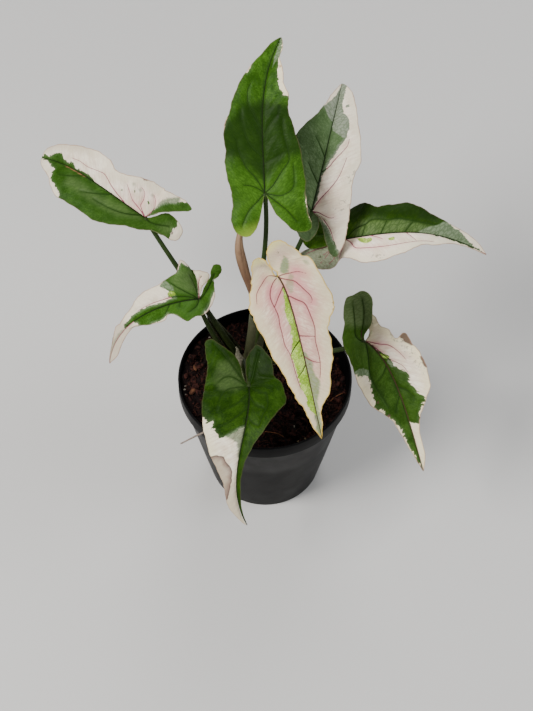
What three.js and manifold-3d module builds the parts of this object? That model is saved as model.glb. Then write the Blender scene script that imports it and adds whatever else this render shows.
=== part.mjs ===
import * as THREE from "three";
import { mergeVertices } from "three/addons/utils/BufferGeometryUtils.js";
import Module from "manifold-3d";

// A potted white princess syngonium: eight arrow-shaped leaves on long petioles in a 9 cm nursery pot.
// Millimetres, +Z up. The origin is the middle of the pot's base, and -Y is the plant's front.

// Driving dimensions
const clearance = 0.3;

const pot = {
  height: 80,
  baseRadius: 30,
  rimRadius: 45,
  wall: 1.2,
  floor: 2,
  bandHeight: 8,
  bandStep: 1.4,
  rounding: 0.2,
  segments: 48,
  drains: { count: 8, radius: 4, ring: 21 },
};

const mix = {
  level: 70,
  moundRise: 5,
  lumpHeight: 0.9,
  lumpLength: 9,
  rings: 8,
  sectors: 36,
};

const clump = {
  x: -9,
  y: 12,
  rootDepth: 60,
  ground: 76,
  stemTop: 86,
  stemRadius: 3.8,
  ring: 8,
  shoulder: 7,
  collar: 3,
};

const blade = {
  thickness: 0.8,
  ribDepth: 0.5,
  lobeLength: 24,
  lobeTurn: 8,
  halfWidth: 20,
  waveShift: 0.37,
  lobeRows: 8,
  bladeRows: 15,
  columns: 4,
};

const petiole = { sides: 8, steps: 14, tipRadius: 1.1, taper: 0.6 };

// Each leaf: its rib from the petiole to the tip, the way its face looks at both ends, then for the left and
// right halves the way the lobe runs, the fold in degrees at the lobe's end and at the base, middle and tip,
// and the margin. The margin is [along the rib, out from it]: the lobe's inner edge, its outer edge, the blade.
// The lobe's own main vein keeps to the middle of the lobe. The margin's wave is height, count and start.
const leaves = [
  {
    name: "leaf_1",
    colour: 0x3f7f22,
    rib: [[0, 31, 188], [-1, 49, 205], [0, 67, 222], [8, 91, 232]],
    face: [[0, -0.6, 0.8], [0, -0.5, 0.8]],
    wave: [1.2, 3, 0],
    left: {
      back: [0, -0.75, -0.65],
      fold: [8, 12, 14, 14],
      curl: -10,
      vein: [[-14, 9]],
      inner: [[-13, 2.5], [-18.5, 5], [-21, 8.5]],
      outer: [[-19.5, 13], [-14, 16], [-4.5, 15.5]],
      edge: [[2.5, 16.5], [13, 18.5], [21, 18], [31, 18.5], [37.5, 16], [45.5, 14], [54.5, 10.5], [63.5, 6], [73, 2.5]],
    },
    right: {
      back: [0.05, -0.75, -0.65],
      fold: [8, 12, 14, 20],
      curl: -10,
      vein: [[-14, 15]],
      inner: [[-10.5, 5], [-14.5, 9], [-18.5, 13], [-19.5, 18.5]],
      outer: [[-17, 22], [-11, 20.5], [-1.5, 19.5]],
      edge: [[6.5, 19.5], [21.5, 17.5], [32.5, 14.5], [41, 12], [47, 12], [54, 8.5], [60, 7], [66, 3.5], [72, 3]],
    },
    petiole: { turn: 85, radius: 1.9, rise: [-5, 17, 120], reach: [3, 18, 160] },
  },
  {
    name: "leaf_2",
    colour: 0xc9cfc4,
    rib: [[23, 39, 165], [28, 52, 182], [33, 69, 195], [38, 90, 202]],
    face: [[-0.1, -0.6, 0.8], [0.1, -0.5, 0.8]],
    wave: [1, 3, 0.3],
    left: {
      back: [0.05, -0.75, -0.7],
      fold: [40, 30, 15, 15],
      curl: -8,
      vein: [[-10, 1]],
      inner: [[-1.5, -4.5], [-6.5, -5.5], [-10.5, -4], [-13.5, -1], [-15, 2.5]],
      outer: [[-12, 6], [-5.5, 9]],
      edge: [[1.5, 11.5], [13.5, 14.5], [25, 17], [36, 16], [46, 9.5], [53, 6], [60, 3.5]],
    },
    right: {
      back: [0, -0.68, -0.73],
      fold: [10, 12, 12, 15],
      curl: -8,
      vein: [[-3, 8.5], [-17, 13]],
      inner: [[-2.5, 5.5], [-10, 7], [-16, 8.5], [-21, 10.5], [-22.5, 13]],
      outer: [[-19.5, 15.5], [-12, 18.5], [-4, 19]],
      edge: [[3.5, 18.5], [13.5, 17], [21.5, 16], [29, 17.5], [39.5, 15], [49, 11.5], [59.5, 7.5], [64.5, 4]],
    },
    petiole: { turn: 50, radius: 1.9, rise: [-2, 20, 118], reach: [16, 24, 143] },
  },
  {
    name: "leaf_3",
    colour: 0x6d8f5c,
    rib: [[40, 34, 150], [64, 33, 156], [87, 36, 150], [112, 37, 134]],
    face: [[0, -0.1, 1], [0.3, -0.2, 1]],
    wave: [1.2, 3, 0.6],
    left: {
      back: [-0.95, -0.05, -0.3],
      fold: [0, 15, 20, 20],
      curl: -10,
      vein: [[-14, 6]],
      inner: [[-9.5, -2.5], [-17.5, -2], [-22, 3.5]],
      outer: [[-21, 11], [-16, 17], [-8, 18]],
      edge: [[-1, 16.5], [7, 19], [14, 16.5], [17, 14.5], [24, 15], [33, 16], [39.5, 13], [46.5, 9.5], [61, 6], [70, 4]],
    },
    right: {
      back: [-0.93, -0.1, -0.37],
      fold: [-20, 0, 5, 5],
      curl: -10,
      vein: [[-15, 6]],
      inner: [[-10, 1], [-18, -1], [-24, 0]],
      outer: [[-25, 3], [-21, 8.5], [-14, 13.5], [-8, 13.5], [-3.5, 11]],
      edge: [[2, 11], [8, 14.5], [14, 15], [24.5, 12.5], [31, 10.5], [38, 7], [46, 6], [58, 2.5], [71.5, 1]],
    },
    petiole: { turn: 15, radius: 1.9, rise: [4, 16, 114], reach: [20, 26, 136] },
  },
  {
    name: "leaf_4",
    colour: 0xe6dcc8,
    rib: [[6, -7, 172], [13, -25, 168], [20, -47, 150], [27, -70, 128]],
    face: [[0, -0.4, 0.9], [0, -0.6, 0.8]],
    wave: [1, 3.5, 0.1],
    left: {
      back: [-0.2, 0.97, 0],
      fold: [8, 14, 12, 16],
      curl: -12,
      vein: [[-14, 4.5]],
      inner: [[-7.5, -1], [-15, -1.5], [-20.5, 1]],
      outer: [[-21, 6], [-15.5, 11], [-6.5, 15.5]],
      edge: [[5.5, 18], [19.5, 20], [24, 19], [29, 15.5], [33, 14], [42, 14], [50, 11.5], [61.5, 8], [67.5, 3], [74, 2]],
    },
    right: {
      back: [-0.45, 0.8, -0.35],
      fold: [8, 14, 12, 16],
      curl: -12,
      vein: [[-13, 2.5]],
      inner: [[-9, -0.5], [-15, -1.5], [-20.5, -0.5]],
      outer: [[-20, 3.5], [-14.5, 7], [-4.5, 12]],
      edge: [[4.5, 16.5], [13.5, 19], [22, 18], [38, 14.5], [53, 10], [60.5, 8], [67.5, 5], [74.5, 3.5]],
    },
    petiole: { turn: 305, radius: 2, rise: [-4, 7, 115], reach: [0, 2, 148] },
  },
  {
    name: "leaf_5",
    colour: 0x4f7f3a,
    rib: [[50, -4, 116], [61, -20, 115], [70, -38, 102], [79, -58, 80]],
    face: [[0.1, -0.3, 0.9], [0.1, -0.6, 0.8]],
    wave: [1, 3, 0.5],
    left: {
      back: [-0.1, 0.95, 0],
      fold: [20, 20, 30, 20],
      curl: -8,
      vein: [[0, 6], [-9, 8.5]],
      inner: [[0.5, 3.5], [-4, 5.5], [-10, 6], [-14.5, 7.5]],
      outer: [[-13, 10], [-6, 11.5], [1, 11]],
      edge: [[5.5, 12], [10.5, 11.5], [10.5, 16.5], [16, 16.5], [21, 17.5], [27, 17.5], [34.5, 16], [39.5, 12],
        [46, 7], [53.5, 4], [67, 3]],
    },
    right: {
      back: [0.3, 0.75, 0.6],
      fold: [0, 5, 5, 15],
      curl: -8,
      vein: [[-7, 3], [-18, 6]],
      inner: [[-7.5, -2.5], [-12.5, -4], [-20, -2], [-25.5, 1]],
      outer: [[-27, 7], [-23.5, 12.5], [-20, 16], [-11, 13], [-5.5, 10]],
      edge: [[-1.5, 11], [9, 15], [22, 17], [34, 15.5], [41, 10.5], [46.5, 7.5], [55, 5.5], [63, 3.5], [70, 1.5]],
    },
    petiole: { turn: 340, radius: 1.8, rise: [8, 6, 92], reach: [34, -6, 106] },
  },
  {
    name: "leaf_6",
    colour: 0x8fa57c,
    rib: [[-60, 48, 150], [-77, 57, 158], [-96, 71, 160], [-115, 88, 150]],
    face: [[0.1, -0.3, 0.95], [0, -0.3, 1]],
    wave: [1, 3, 0.2],
    left: {
      back: [0.9, 0.4, -0.1],
      fold: [-10, 5, 5, 5],
      curl: -10,
      vein: [[-11, 4]],
      inner: [[-5, -2], [-10, -2.5], [-13.5, -2], [-17, 2.5]],
      outer: [[-18.5, 8], [-16, 11.5], [-12, 12], [-8.5, 9]],
      edge: [[-4.5, 5.5], [0, 7.5], [7, 10.5], [15, 15], [22.5, 17], [37, 16.5], [43, 17], [49.5, 14], [55, 10], [67, 4.5]],
    },
    right: {
      back: [0.97, -0.15, -0.1],
      fold: [25, 30, 30, 20],
      curl: -5,
      vein: [[-6, 8], [-16, 11]],
      inner: [[-4.5, 4.5], [-12, 6.5], [-21, 8.5], [-22.5, 10.5]],
      outer: [[-18, 14], [-10.5, 16], [-3, 17]],
      edge: [[4, 17.5], [9.5, 16.5], [16.5, 13.5], [24, 11], [29.5, 13.5], [35.5, 14], [44.5, 12.5], [54, 10.5],
        [64, 7.5], [70.5, 4.5]],
    },
    petiole: { turn: 140, radius: 2.1, rise: [-26, 22, 98], reach: [-47, 38, 127] },
  },
  {
    name: "leaf_7",
    colour: 0x7c9c63,
    rib: [[-33, 15, 126], [-49, 8, 130], [-68, 3, 120], [-79, -5, 98]],
    face: [[-0.1, -0.4, 0.9], [-0.3, -0.5, 0.8]],
    wave: [1, 3, 0.7],
    left: {
      back: [0.6, 0.6, 0.5],
      fold: [10, 15, 25, 20],
      curl: -5,
      vein: [[-9, -1.5], [-18, -4]],
      inner: [[-8.5, -5], [-15.5, -5.5], [-20, -6.5], [-23, -5]],
      outer: [[-20.5, -3], [-16, -2.5], [-13.5, -0.5], [-10, 2.5], [-5, 5.5]],
      edge: [[2.5, 9.5], [7.5, 10.5], [12, 12], [15.5, 7], [19, 6], [22, 8.5], [29, 7.5], [37, 3.5], [43, 3.5], [57.5, 5.5]],
    },
    right: {
      back: [0.75, 0.6, 0.1],
      fold: [15, 15, 15, 10],
      curl: -8,
      vein: [[-4, 7], [-9, 10.5]],
      inner: [[-5.5, 5.5], [-11, 6.5], [-13, 9]],
      outer: [[-11, 12], [-7.5, 14.5], [2, 17]],
      edge: [[6.5, 20.5], [8.5, 17.5], [10.5, 14.5], [19.5, 11], [29, 9.5], [34.5, 6.5], [43, 4], [47.5, 4], [54, 1.5]],
    },
    petiole: { turn: 190, radius: 1.7, rise: [-22, 9, 90], reach: [-32, 14, 110] },
  },
  {
    name: "leaf_8",
    colour: 0x3a6b2b,
    rib: [[-8, -26, 108], [-10, -49, 104], [-14, -67, 88], [-9, -81, 66]],
    face: [[0, -0.3, 0.95], [0.1, -0.7, 0.7]],
    wave: [1.2, 3, 0.4],
    left: {
      back: [0.1, 0.8, 0.6],
      fold: [10, 15, 30, 45],
      curl: -8,
      vein: [[-14, 5]],
      inner: [[-8.5, 1], [-17, 1.5], [-23, 2.5]],
      outer: [[-19, 8], [-13.5, 12], [-3, 14]],
      edge: [[3, 17], [9.5, 18.5], [14.5, 14.5], [22.5, 10], [31.5, 6], [40.5, 3.5], [50, 2.5], [60, 2]],
    },
    right: {
      back: [-0.1, 0.8, 0.6],
      fold: [10, 15, 10, 10],
      curl: -8,
      vein: [[-17, 12.5]],
      inner: [[-7, 2.5], [-13.5, 3.5], [-18.5, 6.5], [-22.5, 11], [-26.5, 16]],
      outer: [[-24.5, 19.5], [-17.5, 19.5], [-12, 19.5]],
      edge: [[-4, 21.5], [11, 23], [22.5, 21.5], [30.5, 18.5], [39.5, 13.5], [46, 9], [53, 6], [60.5, 5.5], [68, 3]],
    },
    petiole: { turn: 255, radius: 1.8, rise: [-11, 2, 102], reach: [-8.5, -11, 109] },
  },
];

// The furled new leaf: a thin stalk that swells into a pointed spear.
const newLeaf = {
  route: [[-9, 12, 86.3], [-5.5, 13.5, 108], [-5.5, 14, 127], [-10, 20, 143], [-12.5, 26, 154], [-11.5, 33, 163]],
  radii: [1.3, 1.2, 1.3, 2.2, 2.9, 1.2],
  flatness: 0.8,
  sides: 8,
  steps: 16,
};

const drySheath = {
  route: [[-15.5, 5, 62], [-15.5, 5, 76], [-14.6, 5.6, 84], [-13.5, 6.4, 92]],
  radii: [1.5, 2.2, 1.8, 0.5],
  flatness: 0.35,
  sides: 8,
  steps: 8,
};

const dryRoot = {
  route: [[-20, -20, 64], [-23, -27, 74], [-31, -36, 81.8], [-41, -42, 82.6]],
  radii: [0.5, 0.5, 0.5, 0.4],
  flatness: 1,
  sides: 6,
  steps: 10,
};

const colours = {
  pot: 0x121212,
  mix: 0x2b1a14,
  stem: 0x55703c,
  petiole: 0x3f5a2a,
  newLeaf: 0xa88f7c,
  drySheath: 0xb9ad8c,
  dryRoot: 0xa9937b,
};

// Helpers

const vector = (point) => new THREE.Vector3(...point);

const radians = THREE.MathUtils.degToRad;

const materialOf = (color, roughness = 0.6) => new THREE.MeshStandardMaterial({ color, roughness, metalness: 0 });

function meshOf(name, geometry, color, roughness) {
  const mesh = new THREE.Mesh(geometry, materialOf(color, roughness));
  mesh.name = name;
  return mesh;
}

// Leaves only positions and shared vertices, so that a geometry is one closed surface.
function weld(geometry) {
  const bare = geometry.clone();
  bare.deleteAttribute("normal");
  bare.deleteAttribute("uv");
  return mergeVertices(bare, 1e-4);
}

const wasm = await Module();
wasm.setup();

function solidOf(geometry) {
  const bare = weld(geometry);
  return new wasm.Manifold(new wasm.Mesh({
    numProp: 3,
    vertProperties: new Float32Array(bare.attributes.position.array),
    triVerts: new Uint32Array(bare.index.array),
  }));
}

function geometryOf(solid) {
  const { vertProperties, triVerts } = solid.getMesh();
  const geometry = new THREE.BufferGeometry();
  geometry.setAttribute("position", new THREE.BufferAttribute(new Float32Array(vertProperties), 3));
  geometry.setIndex(new THREE.BufferAttribute(new Uint32Array(triVerts), 1));
  geometry.computeVertexNormals();
  return geometry;
}

// An upright cylinder from one height to another.
function post(radius, x, y, bottom, top, sides = 16) {
  const geometry = new THREE.CylinderGeometry(radius, radius, top - bottom, sides);
  geometry.rotateX(Math.PI / 2);
  geometry.translate(x, y, (bottom + top) / 2);
  return geometry;
}

// A closed stem: a cylinder bent along a curve, with its own radius at each place along it.
function stemAlong(curve, radiusAt, { sides, steps, flatness = 1 }) {
  const geometry = weld(new THREE.CylinderGeometry(1, 1, 1, sides, steps));
  const place = geometry.attributes.position;
  const across = new THREE.Vector3();
  const out = new THREE.Vector3();
  for (let i = 0; i < place.count; i++) {
    const along = THREE.MathUtils.clamp(place.getY(i) + 0.5, 0, 1);
    const centre = curve.getPointAt(along);
    const forward = curve.getTangentAt(along);
    across.set(1, 0, 0).addScaledVector(forward, -forward.x).normalize();
    out.crossVectors(across, forward);
    const radius = radiusAt(along);
    centre.addScaledVector(across, place.getX(i) * radius);
    centre.addScaledVector(out, place.getZ(i) * radius * flatness);
    place.setXYZ(i, centre.x, centre.y, centre.z);
  }
  return geometry;
}

// The value between listed ones, for a place from 0 to 1.
function between(values, along) {
  const position = along * (values.length - 1);
  const low = Math.min(Math.floor(position), values.length - 2);
  return THREE.MathUtils.lerp(values[low], values[low + 1], position - low);
}

// Pot: one turned wall with a floor, a band at the rim and a ring of drain holes.
const bandBottom = pot.height - pot.bandHeight;
const bodyTop = pot.rimRadius - pot.bandStep;

const outerRadiusAt = (height) => THREE.MathUtils.lerp(pot.baseRadius, bodyTop, height / bandBottom);

function potGeometry() {
  const lip = pot.wall / 2;
  const profile = [
    [0, 0],
    [pot.baseRadius - 1, 0],
    [pot.baseRadius, 1],
    [bodyTop, bandBottom],
    [pot.rimRadius - pot.rounding, bandBottom + pot.rounding],
    [pot.rimRadius, pot.height - lip],
    [pot.rimRadius - pot.rounding, pot.height - pot.rounding],
    [pot.rimRadius - lip, pot.height],
    [pot.rimRadius - pot.wall, pot.height - lip],
    [bodyTop - pot.rounding, bandBottom + 1],
    [bodyTop - pot.wall, bandBottom - 1],
    [outerRadiusAt(pot.floor) - pot.wall, pot.floor],
    [0, pot.floor],
  ].map(([radius, height]) => new THREE.Vector2(radius, height));
  const turned = new THREE.LatheGeometry(profile, pot.segments);
  turned.rotateX(Math.PI / 2);
  let solid = solidOf(turned);
  for (let i = 0; i < pot.drains.count; i++) {
    const angle = (i + 0.5) * 2 * Math.PI / pot.drains.count;
    const x = pot.drains.ring * Math.cos(angle);
    const y = pot.drains.ring * Math.sin(angle);
    solid = solid.subtract(solidOf(post(pot.drains.radius, x, y, -1, pot.floor + 1, 20)));
  }
  return geometryOf(solid);
}

// The mix's surface: lumps, and a mound that rises towards the left edge.
function groundHeight(x, y) {
  const edge = Math.hypot(x, y) / pot.rimRadius;
  const mound = mix.moundRise * Math.max(0, -x / pot.rimRadius) * edge;
  const turn = 2 * Math.PI / mix.lumpLength;
  const lumps = Math.sin(x * turn) * Math.sin(y * turn + 1) + 0.6 * Math.sin((x + y) * turn * 0.6);
  return mix.level + mound + mix.lumpHeight * lumps;
}

// Potting mix: a turned plug that fills the pot, with a plain hole for each stem.
function mixGeometry(holes) {
  const bottom = pot.floor + clearance;
  const edge = bodyTop - pot.wall - 2 * clearance;
  const profile = [new THREE.Vector2(0, bottom)];
  profile.push(new THREE.Vector2(outerRadiusAt(bottom) - pot.wall - 2 * clearance, bottom));
  profile.push(new THREE.Vector2(edge - 1, bandBottom - 6));
  for (let i = 0; i <= mix.rings; i++) {
    profile.push(new THREE.Vector2(edge * (1 - i / mix.rings), mix.level));
  }
  const turned = new THREE.LatheGeometry(profile, mix.sectors);
  turned.rotateX(Math.PI / 2);
  const place = turned.attributes.position;
  for (let i = 0; i < place.count; i++) {
    if (place.getZ(i) > mix.level - 1) place.setZ(i, groundHeight(place.getX(i), place.getY(i)));
  }
  return holes.reduce((solid, hole) => solid.subtract(solidOf(hole)), solidOf(turned));
}

// Blade surface

const mixed = ([base, middle, tip], s) => base * (1 - s) * (1 - 2 * s) + 4 * middle * s * (1 - s) + tip * s * (2 * s - 1);

// The rib is a cubic curve through its four listed points.
function ribCurve([start, third, twoThirds, end]) {
  const inner = (a, b, c, d) => a.map((value, i) => (-5 * value + 18 * b[i] - 9 * c[i] + 2 * d[i]) / 6);
  const first = inner(start, third, twoThirds, end);
  const second = inner(end, twoThirds, third, start);
  return new THREE.CubicBezierCurve3(vector(start), vector(first), vector(second), vector(end));
}

// A leaf with its rib curve and length worked out.
function leafOf(spec) {
  const curve = ribCurve(spec.rib);
  return { ...spec, curve, length: curve.getLength() };
}

// The frame on the rib: its place, its forward way, the way its face looks and the way to its left.
function frameAt(leaf, x) {
  const s = THREE.MathUtils.clamp(x / leaf.length, 0, 1);
  const centre = leaf.curve.getPointAt(s);
  const forward = leaf.curve.getTangentAt(s);
  const face = vector(leaf.face[0]).normalize().lerp(vector(leaf.face[1]).normalize(), s);
  face.addScaledVector(forward, -face.dot(forward)).normalize();
  return { s, centre, forward, face, left: new THREE.Vector3().crossVectors(face, forward) };
}

// A point of the blade: x along the rib, y out from it. Behind the petiole the lobe turns to its own way.
function bladePoint(leaf, sideName, x, y) {
  const side = leaf[sideName];
  const sign = sideName === "left" ? 1 : -1;
  const { s, centre, forward, face, left } = frameAt(leaf, x);
  if (x < 0) {
    const back = vector(side.back).normalize();
    const turned = -x < blade.lobeTurn ? (x * x) / (2 * blade.lobeTurn) : -x - blade.lobeTurn / 2;
    centre.addScaledVector(forward, x + turned).addScaledVector(back, turned);
    const share = Math.min(-x / blade.lobeTurn, 1);
    forward.multiplyScalar(1 - share).addScaledVector(back, -share).normalize();
    face.addScaledVector(forward, -face.dot(forward)).normalize();
    left.crossVectors(face, forward);
  }
  const [lobe, base] = side.fold;
  const fold = x < 0 ? base + (lobe - base) * (x / blade.lobeLength) ** 2 : mixed(side.fold.slice(1), s);
  const angle = radians(fold + side.curl * Math.abs(y) / blade.halfWidth);
  const [height, count, start] = leaf.wave;
  const phase = start + (sideName === "left" ? 0 : blade.waveShift);
  const wave = height * Math.sin(2 * Math.PI * (count * x / leaf.length + phase)) * (y / blade.halfWidth) ** 2;
  centre.addScaledVector(left, sign * y * Math.cos(angle));
  return centre.addScaledVector(face, Math.abs(y) * Math.sin(angle) + wave);
}

// A half's rows run from its spine to its margin. The spine goes out along the lobe's vein and back to the
// petiole, then along the rib to the tip.
function halfRows(leaf, sideName) {
  const side = leaf[sideName];
  const margin = [...side.inner, ...side.outer, ...side.edge, [leaf.length, 0]];
  const outline = new THREE.SplineCurve(margin.map((point) => new THREE.Vector2(...point)));
  const vein = new THREE.SplineCurve([[0, 0], ...side.vein].map((point) => new THREE.Vector2(...point)));
  const last = margin.length - 1;
  const lobeTip = (side.inner.length - 1) / last;
  const shoulder = (side.inner.length + side.outer.length - 1) / last;
  const half = blade.lobeRows / 2;
  const rows = [];
  for (let row = 0; row < blade.lobeRows + blade.bladeRows; row++) {
    const inLobe = row <= blade.lobeRows;
    const along = (row - blade.lobeRows) / blade.bladeRows;
    const place = row <= half ? lobeTip * row / half
      : inLobe ? THREE.MathUtils.lerp(lobeTip, shoulder, (row - half) / half)
        : THREE.MathUtils.lerp(shoulder, 1, along);
    const spine = inLobe ? vein.getPoint(1 - Math.abs(row - half) / half) : new THREE.Vector2(along * leaf.length, 0);
    rows.push({ spine, rim: outline.getPoint(place) });
  }
  return rows;
}

// A thin sheet from both halves: its points and its triangles. Points that meet are one point.
function bladeSheet(leaf) {
  const points = [];
  const known = new Map();
  const indexOf = (sideName, flat, onRib) => {
    const key = onRib ? `rib ${flat.x.toFixed(4)}` : `${sideName} ${flat.x.toFixed(4)} ${flat.y.toFixed(4)}`;
    if (!known.has(key)) {
      known.set(key, points.length);
      points.push({ place: bladePoint(leaf, sideName, flat.x, flat.y), onRib });
    }
    return known.get(key);
  };
  const tip = indexOf("left", new THREE.Vector2(leaf.length, 0), true);
  const triangles = [];
  const face = (a, b, c, turned) => {
    if (a !== b && b !== c && c !== a) triangles.push(turned ? [a, c, b] : [a, b, c]);
  };
  for (const sideName of ["left", "right"]) {
    const turned = sideName === "left";
    const grid = halfRows(leaf, sideName).map(({ spine, rim }) => {
      const row = [];
      for (let column = 0; column <= blade.columns; column++) {
        const flat = spine.clone().lerp(rim, column / blade.columns);
        row.push(indexOf(sideName, flat, column === 0 && Math.abs(spine.y) < 1e-9));
      }
      return row;
    });
    grid.push(new Array(blade.columns + 1).fill(tip));
    for (let row = 0; row + 1 < grid.length; row++) {
      for (let column = 0; column < blade.columns; column++) {
        const [a, b] = [grid[row][column], grid[row][column + 1]];
        const [c, d] = [grid[row + 1][column], grid[row + 1][column + 1]];
        face(a, b, d, turned);
        face(a, d, c, turned);
      }
    }
  }
  return { points, triangles };
}

// A closed blade: the sheet's two faces, alike, and a rim strip round its open edge.
function bladeGeometry(leaf) {
  const { points, triangles } = bladeSheet(leaf);
  const normals = points.map(() => new THREE.Vector3());
  for (const corners of triangles) {
    const [a, b, c] = corners.map((index) => points[index].place);
    const normal = b.clone().sub(a).cross(c.clone().sub(a));
    corners.forEach((index) => normals[index].add(normal));
  }
  const upper = [];
  const lower = [];
  points.forEach(({ place, onRib }, i) => {
    const normal = normals[i].normalize();
    upper.push(place.clone().addScaledVector(normal, blade.thickness / 2));
    lower.push(place.clone().addScaledVector(normal, -blade.thickness / 2 - (onRib ? blade.ribDepth : 0)));
  });
  const index = [];
  const rim = new Map();
  const under = points.length;
  for (const [a, b, c] of triangles) {
    index.push(a, b, c, under + a, under + c, under + b);
    for (const [from, to] of [[a, b], [b, c], [c, a]]) {
      if (!rim.delete(`${to} ${from}`)) rim.set(`${from} ${to}`, [from, to]);
    }
  }
  for (const [from, to] of rim.values()) {
    index.push(to, from, under + from, to, under + from, under + to);
  }
  const geometry = new THREE.BufferGeometry();
  geometry.setFromPoints([...upper, ...lower]);
  geometry.setIndex(index);
  geometry.computeVertexNormals();
  return geometry;
}

// A petiole stands straight in the mix, then bends up to just under its blade.
function petioleCurve(leaf) {
  const { turn, rise, reach } = leaf.petiole;
  const x = clump.x + clump.ring * Math.cos(radians(turn));
  const y = clump.y + clump.ring * Math.sin(radians(turn));
  const { centre, face } = frameAt(leaf, 0);
  const arrival = centre.clone().sub(vector(reach)).normalize();
  const slant = arrival.clone().cross(face).length();
  const drop = blade.thickness / 2 + blade.ribDepth + clearance + petiole.tipRadius * slant;
  const end = centre.addScaledVector(face, -drop);
  const route = new THREE.CurvePath();
  const ground = new THREE.Vector3(x, y, clump.ground);
  route.add(new THREE.LineCurve3(new THREE.Vector3(x, y, clump.rootDepth), ground));
  route.add(new THREE.CubicBezierCurve3(ground, vector(rise), vector(reach), end));
  return route;
}

function petioleGeometry(leaf) {
  const { radius } = leaf.petiole;
  const radiusAt = (along) => THREE.MathUtils.lerp(radius, petiole.tipRadius, along ** petiole.taper);
  return stemAlong(petioleCurve(leaf), radiusAt, petiole);
}

function sproutGeometry(spec) {
  const curve = new THREE.CatmullRomCurve3(spec.route.map(vector));
  return stemAlong(curve, (along) => between(spec.radii, along), spec);
}

// The short stem: a post with a rounded, narrowed top.
function stemGeometry() {
  const { x, y, rootDepth, stemTop, stemRadius } = clump;
  const profile = [
    [0, rootDepth],
    [stemRadius, rootDepth],
    [stemRadius, stemTop - clump.shoulder],
    [stemRadius * 0.85, stemTop - clump.collar],
    [stemRadius * 0.5, stemTop],
    [0, stemTop],
  ].map(([radius, height]) => new THREE.Vector2(radius, height));
  const geometry = new THREE.LatheGeometry(profile, 20);
  geometry.rotateX(Math.PI / 2);
  geometry.translate(x, y, 0);
  return weld(geometry);
}

// Plain holes in the mix for everything that stands in it.
function stemHoles(plants) {
  const top = mix.level + 20;
  const bottom = clump.rootDepth - clearance;
  const holes = [post(clump.stemRadius + clearance, clump.x, clump.y, bottom, top, 20)];
  for (const leaf of plants) {
    const start = petioleCurve(leaf).getPointAt(0);
    holes.push(post(leaf.petiole.radius + 2 * clearance, start.x, start.y, bottom, top, 12));
  }
  const [sheathX, sheathY, sheathFoot] = drySheath.route[0];
  holes.push(post(Math.max(...drySheath.radii) + clearance, sheathX, sheathY, sheathFoot - clearance, top, 12));
  return holes;
}

// The dry root lies slanted in the mix, so its hole is a wider stem along the same route.
function rootHole() {
  const curve = new THREE.CatmullRomCurve3(dryRoot.route.map(vector));
  return stemAlong(curve, () => Math.max(...dryRoot.radii) + 2 * clearance, dryRoot);
}

// The plant

const plant = new THREE.Group();
const grown = leaves.map(leafOf);

plant.add(meshOf("pot", potGeometry(), colours.pot, 0.45));
plant.add(meshOf("potting_mix", geometryOf(mixGeometry([...stemHoles(grown), rootHole()])), colours.mix, 0.95));
plant.add(meshOf("stem", stemGeometry(), colours.stem));

for (const leaf of grown) {
  plant.add(meshOf(`${leaf.name}_blade`, bladeGeometry(leaf), leaf.colour, 0.5));
  plant.add(meshOf(`${leaf.name}_petiole`, petioleGeometry(leaf), colours.petiole));
}

plant.add(meshOf("new_leaf", sproutGeometry(newLeaf), colours.newLeaf));
plant.add(meshOf("dry_sheath", sproutGeometry(drySheath), colours.drySheath, 0.8));
plant.add(meshOf("dry_root", sproutGeometry(dryRoot), colours.dryRoot, 0.8));

export default plant;
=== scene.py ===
import math
import random

import bmesh
import bpy
import numpy as np
from mathutils import Euler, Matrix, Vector, noise


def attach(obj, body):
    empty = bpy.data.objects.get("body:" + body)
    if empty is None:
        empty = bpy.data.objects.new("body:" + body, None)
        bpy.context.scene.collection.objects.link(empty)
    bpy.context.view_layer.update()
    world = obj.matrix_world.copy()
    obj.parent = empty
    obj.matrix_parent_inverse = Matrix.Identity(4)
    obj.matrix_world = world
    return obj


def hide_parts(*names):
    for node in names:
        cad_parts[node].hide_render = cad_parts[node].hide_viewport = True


# A potted white princess syngonium. Lengths in the tables are millimetres, and the meshes are in metres.
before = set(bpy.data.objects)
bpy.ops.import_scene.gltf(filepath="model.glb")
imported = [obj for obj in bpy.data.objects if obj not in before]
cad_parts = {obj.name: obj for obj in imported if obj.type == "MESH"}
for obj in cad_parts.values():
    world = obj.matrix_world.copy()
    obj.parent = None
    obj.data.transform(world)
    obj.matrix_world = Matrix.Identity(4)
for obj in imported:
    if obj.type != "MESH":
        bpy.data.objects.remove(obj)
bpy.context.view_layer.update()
mm = 0.001

# Camera: the photo's view, from the plant's front and well above it
cameraView = {"place": (0.0008, -0.5162, 0.8172), "lookDown": 54.325, "lens": 88.1}

cameraData = bpy.data.cameras.new("camera")
cameraData.lens = cameraView["lens"]
cameraData.sensor_width = 36
cameraObject = bpy.data.objects.new("camera", cameraData)
cameraObject.location = cameraView["place"]
cameraObject.rotation_euler = (math.radians(90 - cameraView["lookDown"]), 0, 0)
bpy.context.scene.collection.objects.link(cameraObject)
bpy.context.scene.camera = cameraObject

# Studio: a pale floor that curves up into a wall all round, and three big soft lights
studio = {
    "floorReach": 1.3,
    "coveRadius": 0.9,
    "coveHeight": 2.0,
    "floorColour": (0.47, 0.465, 0.46),
    "worldColour": (0.92, 0.95, 1.0),
    "worldStrength": 0.3,
    "lights": [
        ("keyLight", (-0.8, -0.5, 1.2), 0.6, 36.0, (1.0, 0.98, 0.94)),
        ("fillLight", (1.15, -0.1, 0.75), 0.8, 9.0, (0.95, 0.98, 1.0)),
        ("backLight", (0.2, 1.1, 1.0), 0.8, 10.0, (1.0, 1.0, 1.0)),
        ("frontLight", (0.3, -1.3, 0.7), 0.7, 5.0, (1.0, 1.0, 1.0)),
    ],
}


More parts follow.
